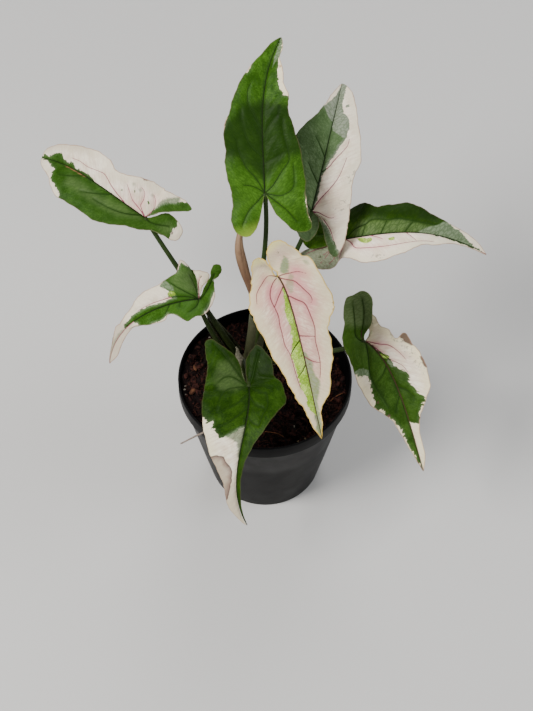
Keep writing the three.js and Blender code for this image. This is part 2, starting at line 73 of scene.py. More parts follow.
# Small helpers for node trees: each returns the socket that it makes
def newMaterial(name, roughness=0.5, specular=0.5):
    material = bpy.data.materials.new(name)
    material.use_nodes = True
    shader = material.node_tree.nodes["Principled BSDF"]
    shader.inputs["Roughness"].default_value = roughness
    shader.inputs["Specular IOR Level"].default_value = specular
    return material, material.node_tree, shader


def connect(tree, value, socket):
    if hasattr(value, "is_output"):
        tree.links.new(value, socket)
    else:
        socket.default_value = (*value, 1) if isinstance(value, tuple) and len(value) == 3 else value


def objectPlace(tree):
    return tree.nodes.new("ShaderNodeTexCoord").outputs["Object"]


def fieldOf(tree, name):
    node = tree.nodes.new("ShaderNodeAttribute")
    node.attribute_name = name
    return node.outputs["Fac"]


def vectorField(tree, name):
    node = tree.nodes.new("ShaderNodeAttribute")
    node.attribute_name = name
    return node.outputs["Vector"]


def maths(tree, operation, first, second=0.0, third=0.0):
    node = tree.nodes.new("ShaderNodeMath")
    node.operation = operation
    for socket, value in zip(node.inputs, (first, second, third)):
        connect(tree, value, socket)
    return node.outputs["Value"]


def ramp(tree, value, low, high, start=0.0, end=1.0):
    node = tree.nodes.new("ShaderNodeMapRange")
    node.interpolation_type = "SMOOTHSTEP"
    for socket, given in zip(node.inputs, (value, low, high, start, end)):
        connect(tree, given, socket)
    return node.outputs["Result"]


def mixed(tree, share, first, second, blend="MIX"):
    node = tree.nodes.new("ShaderNodeMix")
    node.data_type = "RGBA"
    node.blend_type = blend
    connect(tree, share, node.inputs["Factor"])
    connect(tree, first, node.inputs[6])
    connect(tree, second, node.inputs[7])
    return node.outputs[2]


def noiseOf(tree, place, size, detail=2.0, roughness=0.55):
    node = tree.nodes.new("ShaderNodeTexNoise")
    connect(tree, place, node.inputs["Vector"])
    node.inputs["Scale"].default_value = 1 / size
    node.inputs["Detail"].default_value = detail
    node.inputs["Roughness"].default_value = roughness
    return node.outputs["Fac"]


def cellsOf(tree, place, size, feature="F1", output="Color"):
    node = tree.nodes.new("ShaderNodeTexVoronoi")
    node.feature = feature
    connect(tree, place, node.inputs["Vector"])
    node.inputs["Scale"].default_value = 1 / size
    return node.outputs[output]


def bumpOf(tree, height, depth, strength=1.0):
    node = tree.nodes.new("ShaderNodeBump")
    node.inputs["Distance"].default_value = depth
    node.inputs["Strength"].default_value = strength
    connect(tree, height, node.inputs["Height"])
    return node.outputs["Normal"]


def finishPiece(bm, name, materials, replaced, smooth=True):
    bmesh.ops.recalc_face_normals(bm, faces=bm.faces)
    mesh = bpy.data.meshes.new(name)
    bm.to_mesh(mesh)
    bm.free()
    for polygon in mesh.polygons:
        polygon.use_smooth = smooth
    for material in materials:
        mesh.materials.append(material)
    piece = bpy.data.objects.new(name, mesh)
    bpy.context.scene.collection.objects.link(piece)
    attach(piece, "root")
    if replaced:
        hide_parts(*replaced)
    return piece


def roundedCentre(face):
    return tuple(round(value, 6) for value in face.calc_center_median())


# A profile of (radius, height) turned once about the upright axis. The spin leaves its faces in an order that
# changes from run to run, so they are sorted by place.
def addTurned(bm, profile, steps, scale=mm, merge=1e-6):
    verts = [bm.verts.new((r * scale, 0, z * scale)) for r, z in profile]
    edges = [bm.edges.new(pair) for pair in zip(verts, verts[1:])]
    bmesh.ops.spin(bm, geom=[*verts, *edges], cent=(0, 0, 0), axis=(0, 0, 1), angle=2 * math.pi,
                   steps=steps, use_merge=True)
    bmesh.ops.remove_doubles(bm, verts=bm.verts, dist=merge)
    for index, face in enumerate(sorted(bm.faces, key=roundedCentre)):
        face.index = index
    bm.faces.sort()


def makeStudio():
    reach, curve = studio["floorReach"], studio["coveRadius"]
    rise = [math.radians(90 * i / 16) for i in range(17)]
    profile = [(0, 0), *[(reach + curve * math.sin(a), curve - curve * math.cos(a)) for a in rise]]
    profile.append((reach + curve, studio["coveHeight"]))
    bm = bmesh.new()
    addTurned(bm, profile, 72, scale=1, merge=1e-5)
    mesh = bpy.data.meshes.new("floor")
    bm.to_mesh(mesh)
    bm.free()
    for polygon in mesh.polygons:
        polygon.use_smooth = True
    floor = bpy.data.objects.new("floor", mesh)
    bpy.context.scene.collection.objects.link(floor)
    material, _, shader = newMaterial("floorPaper", roughness=0.9, specular=0.2)
    shader.inputs["Base Color"].default_value = (*studio["floorColour"], 1)
    mesh.materials.append(material)
    world = bpy.data.worlds.new("studio")
    world.use_nodes = True
    background = world.node_tree.nodes["Background"]
    background.inputs["Color"].default_value = (*studio["worldColour"], 1)
    background.inputs["Strength"].default_value = studio["worldStrength"]
    bpy.context.scene.world = world
    for name, place, size, power, colour in studio["lights"]:
        data = bpy.data.lights.new(name, "AREA")
        data.shape = "DISK"
        data.size = size
        data.energy = power
        data.color = colour
        light = bpy.data.objects.new(name, data)
        light.location = place
        aim = Vector((0, 0, 0.13)) - Vector(place)
        light.rotation_euler = aim.to_track_quat("-Z", "Y").to_euler()
        bpy.context.scene.collection.objects.link(light)


# Leaves
# Each leaf: its rib from the petiole to the tip, the way its face looks at both ends and the margin's wave
# (height, count, start). For each half: the way the lobe runs, the fold in degrees at the lobe's end and at
# the base, middle and tip, the curl, the lobe's vein and the margin, as (along the rib, out from it).
# Marks are what the leaf shows as kind, half and outline; some are painted shade, painted light and painted
# sheen.
# Veins are a half and the points that they pass.
bladeForm = {
    "thickness": 0.4,
    "lobeLength": 24.0,
    "lobeTurn": 8.0,
    "halfWidth": 20.0,
    "waveShift": 0.37,
    "lobeSteps": 26,
    "bladeSteps": 110,
    "acrossSteps": 36,
    "groove": 0.34,
    "grooveWidth": 0.85,
    "bulge": 0.26,
    "pucker": 0.16,
    "puckerSize": 7.5,
    "ridge": 0.45,
    "ridgeWidth": 0.6,
    "ragged": 0.16,
}

outside = 30


def spot(x, y, radius):
    angles = [math.tau * i / 8 for i in range(8)]
    return [(x + radius * math.cos(angle), y + radius * math.sin(angle)) for angle in angles]


leaves = {
    "leaf_1": {
        "rib": [(0, 31, 188), (-1, 49, 205), (0, 67, 222), (8, 91, 232)],
        "face": [(0, -0.6, 0.8), (0, -0.5, 0.8)],
        "wave": (1.2, 3, 0),
        "left": {
            "back": (0, -0.75, -0.65),
            "fold": (8, 12, 14, 14),
            "curl": -10,
            "vein": [(-14, 9)],
            "inner": [(-13, 2.5), (-18.5, 5), (-21, 8.5)],
            "outer": [(-19.5, 13), (-14, 16), (-4.5, 15.5)],
            "edge": [(2.5, 16.5), (13, 18.5), (21, 18), (31, 18.5), (37.5, 16), (45.5, 14), (54.5, 10.5),
                     (63.5, 6), (73, 2.5)],
        },
        "right": {
            "back": (0.05, -0.75, -0.65),
            "fold": (8, 12, 14, 20),
            "curl": -10,
            "vein": [(-14, 15)],
            "inner": [(-10.5, 5), (-14.5, 9), (-18.5, 13), (-19.5, 18.5)],
            "outer": [(-17, 22), (-11, 20.5), (-1.5, 19.5)],
            "edge": [(6.5, 19.5), (21.5, 17.5), (32.5, 14.5), (41, 12), (47, 12), (54, 8.5), (60, 7),
                     (66, 3.5), (72, 3)],
        },
        "petiole": {"turn": 85, "radius": 1.9, "rise": (-5, 17, 120), "reach": (3, 18, 160)},
        "marks": [
            ("white", "right", [(66.5, 3.3), (61.5, 4), (56.5, 5), (52, 6.5), (49.5, 7.5), (49.5, 8.8),
                                (47, 9), (46, outside), (66, outside)]),
            ("pale", "right", [(78, -1), (74, 0.5), (66, 1), (60, 1.5), (61.5, 2), (63.5, 2.5), (66.5, 3.3),
                               (69, outside), (78, outside)]),
            ("white", "right", [(77.5, 0.5), (73.5, 2.2), (68.5, 3), (68, outside), (78, outside)]),
            ("white", "left", [(37, 17.4), (35, 16.9), (32.5, 17.4), (30.5, 18.6), (30.5, outside),
                               (38, outside)]),
            ("white", "left", [(58.5, 8.6), (57, 8.6), (55, 9.6), (55, outside), (58.5, outside)]),
            ("white", "right", [(0, 19.6), (-5, 19.6), (-10.5, 20.2), (-14.5, 21.6), (-15, outside),
                                (1, outside)]),
            # Painted light: a lighter lime green over the left lobe, where light falls on it
            ("paintedLight", "left", [(-14, 0), (-16, 6), (-18.5, 12), (-18, 20), (-30, 20), (-30, -5), (-14, -5)]),
            ("shade", "left", [(5, -2), (7.5, 3.5), (11.5, 7), (14, 10.5), (16.5, 13), (18.5, outside),
                               (32, outside), (36, 14.5), (42, 9.5), (44, -2)]),
            ("shade", "right", [(5, -2), (8.5, 3.5), (12.5, 7.5), (16.5, 11.5), (17.5, 15), (21, outside),
                                (38, outside), (44, 9), (44, 4.5), (44, -2)]),
            ("blot", "right", [(42.5, 7), (41.5, 8.5), (38.5, 8.5), (35, 7.5), (35.5, 6.5), (39.5, 7)]),
            ("rust", "right", spot(61.5, 5, 0.8)),
        ],
        "veins": [
            ("left", [(17, 0), (22.5, 5.5), (29, 8.5), (35, 10), (39, 10.5)]),
            ("left", [(30.5, 0), (37, 4), (42, 7.2), (47, 8), (51, 7)]),
            ("left", [(0, 0), (7, 4), (12.5, 8.5), (20, 11.5), (26, 12.5)]),
            ("left", [(0, 0), (3, 5), (4, 10.5)]),
            ("left", [(0, 0), (-4, 3.5), (-9, 8), (-16, 11)]),
            ("right", [(0, 0), (3.5, 4), (10, 8.5), (14.5, 12), (19.5, 12), (29, 10), (36, 9.5)]),
            ("right", [(14, 0), (16.5, 5.5), (19.5, 11)]),
            ("right", [(26, 0), (32.5, 3.5), (37, 7)]),
            ("right", [(0, 0), (-1.5, 7.5), (1.5, 13), (6, 14.2), (14, 14)]),
            ("right", [(0, 0), (-4.5, 5.5), (-8.5, 10), (-14.5, 15)]),
        ],
        "greens": [(0.013, 0.046, 0.0008), (0.056, 0.138, 0.012)],
        "greenNet": 0.45,
        "paintedBaseLight": 0.4,
        "shadeShare": 0.8,
        "jag": 0.6,
        "veinScale": 1.2,
        "margin": (0.72, 0.62, 0.42),
    },
    "leaf_2": {
        "rib": [(23, 39, 165), (28, 52, 182), (33, 69, 195), (38, 90, 202)],
        "face": [(-0.1, -0.6, 0.8), (0.1, -0.5, 0.8)],
        "wave": (1, 3, 0.3),
        "left": {
            "back": (0.05, -0.75, -0.7),
            "fold": (40, 30, 15, 15),
            "curl": -8,
            "vein": [(-10, 1)],
            "inner": [(-1.5, -4.5), (-6.5, -5.5), (-10.5, -4), (-13.5, -1), (-15, 2.5)],
            "outer": [(-12, 6), (-5.5, 9)],
            "edge": [(1.5, 11.5), (13.5, 14.5), (25, 17), (36, 16), (46, 9.5), (53, 6), (60, 3.5)],
        },
        "right": {
            "back": (0, -0.68, -0.73),
            "fold": (10, 12, 12, 15),
            "curl": -8,
            "vein": [(-3, 8.5), (-17, 13)],
            "inner": [(-2.5, 5.5), (-10, 7), (-16, 8.5), (-21, 10.5), (-22.5, 13)],
            "outer": [(-19.5, 15.5), (-12, 18.5), (-4, 19)],
            "edge": [(3.5, 18.5), (13.5, 17), (21.5, 16), (29, 17.5), (39.5, 15), (49, 11.5), (59.5, 7.5),
                     (64.5, 4)],
        },
        "petiole": {"turn": 50, "radius": 1.9, "rise": (-2, 20, 118), "reach": (16, 24, 143)},
        "marks": [
            ("white", "left", [(67.5, 0.4), (63.5, 0.6), (59.5, 1.6), (56.5, 2.6), (54.5, 4.5), (52.5, 6),
                               (51.5, outside), (70, outside)]),
            ("pale", "left", [(70, -1), (67, 12), (52.5, 7), (48, 4), (46, 2), (45, -1)]),
            ("white", "right", [(67, 3.4), (64.5, 2.5), (60.5, 2.4), (55, 2.5), (51, 4), (49, 6.5),
                                (45.5, 8), (42.5, 8.5), (39, 8), (36.5, 7), (33, 5.5), (29.5, 4.5), (27, 3),
                                (21, 1.2), (18, 0.6), (14, 0.9), (9, 1.4), (5, 1), (0, 0.3), (-1.5, 3),
                                (-2, 5), (-5, 7.5), (-9, 9.5), (-12.5, 11.5), (-18, 14), (-21, 15.5),
                                (-24, outside), (70, outside)]),
            ("pale", "right", [(70, -1), (70, 6), (51, 6), (49, 9), (42, 9), (38, 7.5), (40, 3.5), (41, 1),
                               (45, -1)]),
            ("green", "right", spot(54.5, 5, 0.9)),
            ("shade", "left", [(0, -12), (-22, -12), (-22, 16), (0, 16)]),
            ("shade", "right", [(3, -8), (-34, -8), (-34, 13), (-12, 13), (0, 6)]),
            ("smudge", "right", [(5, 9), (9, 10), (12, 15), (9, 18), (3, 14)]),
            ("smudge", "right", [(17, 10), (24, 11), (25, 16), (18, 16)]),
        ],
        "veins": [
            ("right", [(20, 0), (23.5, 3), (27.5, 5), (31.5, 7.5), (35.5, 9.5), (39, 9.5)]),
            ("right", [(0, 0), (5, 1.6), (9, 3.5), (12.5, 5.5), (16.5, 7.5), (20.5, 9), (26, 10),
                       (30, 10.5)]),
            ("right", [(0, 0), (0.5, 3.5), (0, 6.5), (-0.5, 9.5), (0.5, 11.5)]),
            ("right", [(0, 0), (-2, 6), (-9, 10.5), (-17, 13)]),
            ("left", [(27.5, 0), (33, 4), (36.5, 7)]),
            ("left", [(14, 0), (19.5, 4.5), (23.5, 7.5)]),
            ("left", [(0, 0), (5, 5), (10, 9), (17, 12)]),
        ],
        "greens": [(0.040, 0.076, 0.024), (0.112, 0.170, 0.078)],
        "pale": (0.17, 0.19, 0.145),
        "greenNet": 0.6,
        "paintedBaseLight": 0.8,
        "blush": 0.35,
        "jag": 0.5,
        "fringe": 0.7,
        "veinScale": 1.35,
        "veinColour": (0.17, 0.04, 0.075),
        "cream": [(0.62, 0.56, 0.43), (0.74, 0.69, 0.57)],
        "lines": 0.26,
        "shadeShare": 0.6,
    },
    "leaf_3": {
        "rib": [(40, 34, 150), (64, 33, 156), (87, 36, 150), (112, 37, 134)],
        "face": [(0, -0.1, 1), (0.3, -0.2, 1)],
        "wave": (1.2, 3, 0.6),
        "left": {
            "back": (-0.95, -0.05, -0.3),
            "fold": (0, 15, 20, 20),
            "curl": -10,
            "vein": [(-14, 6)],
            "inner": [(-9.5, -2.5), (-17.5, -2), (-22, 3.5)],
            "outer": [(-21, 11), (-16, 17), (-8, 18)],
            "edge": [(-1, 16.5), (7, 19), (14, 16.5), (17, 14.5), (24, 15), (33, 16), (39.5, 13),
                     (46.5, 9.5), (61, 6), (70, 4)],
        },
        "right": {
            "back": (-0.93, -0.1, -0.37),
            "fold": (-20, 0, 5, 5),
            "curl": -10,
            "vein": [(-15, 6)],
            "inner": [(-10, 1), (-18, -1), (-24, 0)],
            "outer": [(-25, 3), (-21, 8.5), (-14, 13.5), (-8, 13.5), (-3.5, 11)],
            "edge": [(2, 11), (8, 14.5), (14, 15), (24.5, 12.5), (31, 10.5), (38, 7), (46, 6), (58, 2.5),
                     (71.5, 1)],
        },
        "petiole": {"turn": 15, "radius": 1.9, "rise": (4, 16, 114), "reach": (20, 26, 136)},
        "marks": [
            ("pale", "left", [(35, -1), (39.5, 2), (43.5, 4), (47, 5), (49.5, 7), (53, 9), (53, outside),
                              (80, outside), (80, -1)]),
            ("white", "left", [(53, 8.5), (55.5, 6.5), (60, 5), (63, 3.5), (65, 2.5), (70, 0.8), (82, -1),
                               (82, outside), (53, outside)]),
            ("white", "right", [(-30, -8), (82, -8), (82, outside), (-30, outside)]),
            ("shade", "left", [(-8, 10), (3.5, 8.5), (9.5, 9.5), (16, 8), (22, 7.5), (29.5, 7.5),
                               (34.5, 6.5), (40.5, 5.5), (48.5, 5.5), (48, outside), (-8, outside)]),
            ("paintedSheen", "left", [(4.5, -1), (4.5, 3), (5.5, 6), (9, 8), (16, 7), (22.5, 6), (29, 6.5),
                              (34, 5.5), (40.5, 4), (46.5, 3.5), (44, -1)]),
            ("lime", "right", [(5.5, 0.8), (8.5, 0.8), (12, 1.6), (14, 1.8), (13.5, 3.5), (11.5, 4.5),
                               (8.5, 4)]),
            ("lime", "right", [(21, 3.4), (22.5, 2.8), (25, 2.3), (24.5, 4), (23, 4.4)]),
            ("green", "right", [(46, -1), (46, 0.3), (60, 0.9), (70, 0.7), (73, -1)]),
            ("smudge", "right", [(13, 10), (19, 11), (19, 14), (13, 13)]),
            # Painted shadow: this hidden lobe lies in leaf 2's shadow, so it is darkened and greyed
            ("shade", "right", [(-1, -6), (-1, 16), (-14, 24), (-36, 20), (-36, -8)]),
            ("faint", "right", [(-4, -6), (-5, 16), (-14, 24), (-36, 20), (-36, -8)]),
        ],
        "veins": [
            ("left", [(0, 0), (3, 3), (6, 5), (10, 6), (11.5, 6.5), (14, 8), (18, 7.8), (22, 7), (27, 7.5),
                      (31, 7), (35, 6), (39.5, 5.5), (47, 5)]),
            ("left", [(8.5, 0), (9.5, 2.5), (10.8, 6)]),
            ("left", [(18, 0), (20, 3.5), (22, 7)]),
            ("left", [(30, 0), (32, 2.5), (35, 6)]),
            ("left", [(0, 0), (-6, 4), (-14, 6)]),
            ("right", [(0, 0), (3, 2.5), (5, 5.5), (7.5, 6.5), (13.5, 7), (19.5, 7), (25.5, 6.5), (32, 5.5),
                       (38.5, 4.5), (46, 4)]),
            ("right", [(13, 0), (16.5, 1.5), (19, 3)]),
            ("right", [(31, 0), (34, 3), (35.5, 4.7)]),
            ("right", [(0, 0), (-6, 3), (-15, 6)]),
            ("right", [(0, 0), (-4, 6), (-9, 10), (-13, 12)]),
            ("right", [(0, 0), (-9, 1.5), (-17, 1), (-22, 1.5)]),
            ("right", [(0, 0), (-8, 4), (-15, 9), (-19, 9.5)]),
            ("right", [(0, 0), (-2, 6), (-4, 10)]),
        ],
        "greens": [(0.010, 0.035, 0.0004), (0.046, 0.102, 0.006)],
        "greenNet": 0.5,
        "paintedSheenShare": 0.55,
        "faintShare": 0.8,
        "shadeShare": 0.75,
        "jag": 0.8,
        "veinScale": 1.25,
        "blush": 0.45,
        "blushReach": 40.0,
    },
    "leaf_4": {
        "rib": [(6, -7, 172), (13, -25, 168), (20, -47, 150), (27, -70, 128)],
        "face": [(0, -0.4, 0.9), (0, -0.6, 0.8)],
        "wave": (1, 3.5, 0.1),
        "left": {
            "back": (-0.2, 0.97, 0),
            "fold": (8, 14, 12, 16),
            "curl": -12,
            "vein": [(-14, 4.5)],
            "inner": [(-2.5, 1.1), (-6.5, -0.6), (-14, -1.5), (-20.5, 1)],
            "outer": [(-21, 6), (-15.5, 11), (-6.5, 15.5)],
            "edge": [(5.5, 18), (19.5, 20), (24, 19), (29, 15.5), (33, 14), (42, 14), (50, 11.5), (61.5, 8),
                     (67.5, 3), (74, 2)],
        },
        "right": {
            "back": (-0.45, 0.8, -0.35),
            "fold": (8, 14, 12, 16),
            "curl": -12,
            "vein": [(-13, 2.5)],
            "inner": [(-2.5, 0.9), (-6.5, -0.4), (-14, -1.4), (-20.5, -0.5)],
            "outer": [(-20, 3.5), (-14.5, 7), (-4.5, 12)],
            "edge": [(4.5, 16.5), (13.5, 19), (22, 18), (38, 14.5), (53, 10), (60.5, 8), (67.5, 5),
                     (74.5, 3.5)],
        },
        "petiole": {"turn": 305, "radius": 2, "rise": (-4, 7, 115), "reach": (0, 2, 148)},
        "marks": [
            ("white", "left", [(-30, -8), (90, -8), (90, outside), (-30, outside)]),
            ("white", "right", [(-30, -8), (90, -8), (90, outside), (-30, outside)]),
            ("lime", "right", [(7.5, 0.5), (11.5, 2), (13.5, 2), (18.5, 3.5), (22.5, 3.5), (26.5, 3),
                               (29, 3.5), (34, 3.5), (40, 6), (43.5, 5.5), (50, 5), (56.5, 4.5), (60, 3.5),
                               (67, 3), (69.5, 1.5), (71, -1), (7, -1)]),
            ("veil", "left", [(39.5, -1), (40, 1.5), (46, 3.5), (51, 3), (54.5, 4.5), (58.5, 4.5),
                              (61.5, 3), (64.5, 1.5), (69.5, 1.5), (77.5, 1.8), (86, 2), (86, -1)]),
            ("veil", "left", [(-10.5, 7), (-7.5, 8.5), (-0.5, 7.5), (2, 5), (1, 2.5), (-2, 2.5),
                              (-7, 4.5)]),
            ("faint", "left", [(3, 5), (4.5, 6.5), (12, 3), (12, 1.5), (7, 1)]),
            ("faint", "left", [(1, 14), (1.5, 15.5), (3.5, 15.5), (3, 14)]),
            ("veil", "right", [(70, -1), (70, 1), (86, 2), (86, -1)]),
            ("shade", "left", [(-4, -3), (-9, 4), (-9, 14), (-26, 14), (-26, -4)]),
            ("shade", "right", [(-8, -3), (-12, 4), (-10, 12), (-26, 14), (-26, -4)]),
            ("brown", "left", spot(46, 2, 0.45)),
            ("brown", "left", spot(35, 5.5, 0.25)),
            ("brown", "right", spot(41.5, 1, 0.3)),
            ("brown", "left", spot(21.5, 19.6, 0.5)),
            ("brown", "left", spot(24.5, 18.7, 0.7)),
            ("brown", "left", spot(27.5, 17.2, 0.5)),
            ("brown", "left", spot(31.5, 15.2, 0.6)),
            ("ochre", "left", [(-16, -3), (-17, 3), (-19, 8), (-17, 12), (-26, 14), (-26, -4)]),
            ("ochre", "right", [(-14, -3), (-15, 1), (-16, 4), (-15, 8), (-26, 12), (-26, -4)]),
        ],
        "veins": [
            ("left", [(0, 0), (2.5, 0.8), (5, 3), (7, 5.5), (9.5, 7), (12.5, 8.5), (15, 10), (17, 10.5),
                      (18.5, 10), (19, 8.5)]),
            ("left", [(12, 0), (15.5, 3.5), (17.5, 6), (19.5, 7), (23, 7.5), (27.5, 8), (31, 8), (35.5, 7),
                      (40, 7), (45, 7), (50.5, 6), (54, 5)]),
            ("left", [(32, 0), (33, 3.5), (34, 7.5)]),
            ("left", [(42, 0), (45, 3.5), (46.5, 7)]),
            ("left", [(0, 0), (2.5, 5), (4, 9), (6.5, 12.5)]),
            ("right", [(0, 0), (4, 4.5), (9, 7.5), (13, 8), (16.5, 7.5), (21, 7), (24.5, 7.5), (29, 7.5),
                       (35, 7.5), (40, 6), (50, 5.5), (58, 4.5)]),
            ("right", [(7, 0), (12, 4.5), (16, 7.5)]),
            ("right", [(0, 0), (-3.5, 3), (-2, 6), (3, 11), (6.5, 13.5), (12, 15)]),
            ("right", [(34, 0), (37.5, 4), (40, 6)]),
            ("right", [(46, 0), (49, 2.5), (51, 5)]),
        ],
        "greens": [(0.09, 0.18, 0.01), (0.3, 0.45, 0.08)],
        "allWhite": True,
        "cream": [(0.55, 0.47, 0.345), (0.69, 0.62, 0.485)],
        "margin": (0.56, 0.51, 0.32),
        "marginReach": 10.0,
        "edgeColour": (0.50, 0.33, 0.06),
        "ragged": 0.3,
        "edgeShare": 0.85,
        "edgeWidth": 0.9,
        "ribScale": 1.35,
        "veinScale": 1.7,
        "ribColour": (0.035, 0.02, 0.008),
        "veinColour": (0.17, 0.048, 0.056),
        "blush": 0.95,
        "blushReach": 66.0,
        "blushWidth": 4.8,
        "blushColour": (0.46, 0.19, 0.19),
        "shadeShare": 0.6,
        "lines": 0.5,
        "netShare": 0.5,
    },
    "leaf_5": {
        "rib": [(50, -4, 116), (61, -20, 115), (70, -38, 102), (79, -58, 80)],
        "face": [(0.1, -0.3, 0.9), (0.1, -0.6, 0.8)],
        "wave": (1, 3, 0.5),
        "left": {
            "back": (-0.1, 0.95, 0),
            "fold": (20, 20, 30, 20),
            "curl": -8,
            "vein": [(0, 6), (-9, 8.5)],
            "inner": [(0.5, 3.5), (-4, 5.5), (-10, 6), (-14.5, 7.5)],
            "outer": [(-13, 10), (-6, 11.5), (1, 11)],
            "edge": [(5.5, 12), (10.5, 11.5), (10.5, 16.5), (16, 16.5), (21, 17.5), (27, 17.5), (34.5, 16),
                     (39.5, 12), (46, 7), (53.5, 4), (67, 3)],
        },
        "right": {
            "back": (0.3, 0.75, 0.6),
            "fold": (0, 5, 5, 15),
            "curl": -8,
            "vein": [(-7, 3), (-18, 6)],
            "inner": [(-7.5, -2.5), (-12.5, -4), (-20, -2), (-25.5, 1)],
            "outer": [(-27, 7), (-23.5, 12.5), (-20, 16), (-11, 13), (-5.5, 10)],
            "edge": [(-1.5, 11), (9, 15), (22, 17), (34, 15.5), (41, 10.5), (46.5, 7.5), (55, 5.5),
                     (63, 3.5), (70, 1.5)],
        },
        "petiole": {"turn": 340, "radius": 1.8, "rise": (8, 6, 92), "reach": (34, -6, 106)},
        "marks": [
            ("white", "left", [(0, -1), (1, 0.4), (6.5, 0.6), (10.5, 1), (15, 3), (18.5, 3.5), (22, 4),
                               (23.5, 5), (25, 7), (27, 7.5), (30, 7), (33, 8), (35, 8.5), (36.5, 10),
                               (38.5, 11.5), (41, 11.5), (41.5, 9), (44, 7.5), (46.5, 6), (49, 5),
                               (50, 3.5), (49.5, 1), (48, -1), (80, -1), (80, outside), (-30, outside),
                               (-30, -6)]),
            ("lime", "left", [(11, 0.8), (13, 2.5), (14.5, 3.2), (15.5, 2.7), (14, 0.8), (12, 0.3)]),
            ("pale", "left", [(15.5, 2.3), (17.5, 4.2), (21.5, 4.4), (20, 2), (17, 1)]),
            ("brown", "left", [(10.5, 13.2), (14, 13.8), (17, 15.4), (19, outside), (10.5, outside)]),
            ("brown", "left", [(21.5, 16.3), (24, 16.2), (27, 16.6), (27, outside), (21, outside)]),
            ("pale", "right", [(12, outside), (12.5, 13), (13.5, 11), (16, 9.3), (19, 10.5), (19, 14),
                               (15, outside)]),
            ("white", "right", [(14, 16), (17, 14), (19, 11), (23.5, 11.5), (28.5, 13), (32.5, 13.5),
                                (36, 14), (37, 12), (38.5, 11), (41, 10.5), (43, 9), (45, 7), (47.5, 6),
                                (50.5, 5), (54, 4.5), (58, 4), (62.5, 3), (67, 2), (71.5, 0.6), (80, -1),
                                (80, outside), (14, outside)]),
            ("brown", "right", spot(33.5, 12, 0.6)),
            ("brown", "right", spot(42, 9, 0.5)),
            ("smudge", "left", [(6, 11), (9, 9), (24, 12), (30, 15), (28, 17), (20, 16), (12, 15)]),
            ("paintedSheen", "right", [(-8, 16), (-32, 20), (-32, -8), (-12, -6), (-9, 5)]),
        ],
        "veins": [
            ("left", [(0, 0), (6.5, 3), (10.5, 6.5), (15.5, 8.5), (21, 10)]),
            ("left", [(2, 0), (10.5, 1.2), (15.5, 2.5), (18.5, 4.5), (22, 7), (26, 8)]),
            ("left", [(30, 0), (33, 4), (37, 6)]),
            ("right", [(0, 0), (8, 4.5), (13.5, 7.5), (18.5, 9.5), (23.5, 10), (28, 9.5), (33, 8.5),
                       (38, 7.5)]),
            ("right", [(18, 0), (21.5, 4), (24, 9)]),
            ("right", [(34, 0), (38, 3), (42, 5)]),
            ("right", [(0, 0), (-9.5, 0.5), (-17, 2.5), (-23, 6)]),
            ("right", [(0, 0), (-7, 4), (-14, 7.5), (-20, 11)]),
        ],
        "greens": [(0.012, 0.038, 0.001), (0.048, 0.106, 0.013)],
        "paintedBaseLight": 0.7,
        "paintedSheenShare": 0.85,
        "jag": 1.2,
        "veinScale": 1.25,
        "margin": (0.68, 0.60, 0.38),
        "ribColour": (0.06, 0.03, 0.02),
        "blush": 0.6,
        "lines": 0.28,
    },
    "leaf_6": {
        "rib": [(-60, 48, 150), (-77, 57, 158), (-96, 71, 160), (-115, 88, 150)],
        "face": [(0.1, -0.3, 0.95), (0, -0.3, 1)],
        "wave": (1, 3, 0.2),
        "left": {
            "back": (0.9, 0.4, -0.1),
            "fold": (-10, 5, 5, 5),
            "curl": -10,
            "vein": [(-11, 4)],
            "inner": [(-5, -2), (-10, -2.5), (-13.5, -2), (-17, 2.5)],
            "outer": [(-18.5, 8), (-16, 11.5), (-12, 12), (-8.5, 9)],
            "edge": [(-4.5, 5.5), (0, 7.5), (7, 10.5), (15, 15), (22.5, 17), (37, 16.5), (43, 17),
                     (49.5, 14), (55, 10), (67, 4.5)],
        },
        "right": {
            "back": (0.97, -0.15, -0.1),
            "fold": (25, 30, 30, 20),
            "curl": -5,
            "vein": [(-6, 8), (-16, 11)],
            "inner": [(-4.5, 4.5), (-12, 6.5), (-21, 8.5), (-22.5, 10.5)],
            "outer": [(-18, 14), (-10.5, 16), (-3, 17)],
            "edge": [(4, 17.5), (9.5, 16.5), (16.5, 13.5), (24, 11), (29.5, 13.5), (35.5, 14), (44.5, 12.5),
                     (54, 10.5), (64, 7.5), (70.5, 4.5)],
        },
        "petiole": {"turn": 140, "radius": 2.1, "rise": (-26, 22, 98), "reach": (-47, 38, 127)},
        "marks": [
            ("white", "right", [(74, 1.5), (67, 1.8), (63, 1.8), (60, 4), (56.5, 5), (53.5, 2.5),
                                (50.5, 1.3), (49.5, 2.5), (47, 2.5), (44.5, 0.9), (41.5, 1.3), (37.5, 1.5),
                                (34.5, 1), (30.5, -0.5), (0, -0.5), (-1.5, 5.5), (-5, 8), (-10, 10.5),
                                (-13, 11.5), (-18.5, 13), (-26, 15), (-26, outside), (76, outside)]),
            ("veil", "right", [(-2, 5.5), (-5, 7.5), (-10, 9.8), (-16, 12), (-16, 14.5), (-9, 12.8),
                               (-4, 10)]),
            ("green", "right", spot(17, 4.5, 0.5)),
            ("green", "right", spot(11.5, 8, 0.5)),
            ("green", "right", spot(13, 8.7, 0.35)),
            ("green", "right", spot(3, 7, 0.5)),
            ("faint", "right", spot(14, 10.5, 0.7)),
            ("faint", "right", spot(9.5, 10, 1)),
            ("faint", "right", spot(3, 11.5, 0.8)),
            ("brown", "right", [(12.5, 15.2), (11, 14.5), (9.5, 15.4), (9.5, outside), (12.5, outside)]),
            ("white", "left", [(76, -0.6), (71, 0.4), (63.5, 2), (58, 3.5), (55, 5), (54.5, 8.5),
                               (51.5, 11), (47.5, 12.5), (45, 14), (42, 15), (41, outside),
                               (76, outside)]),
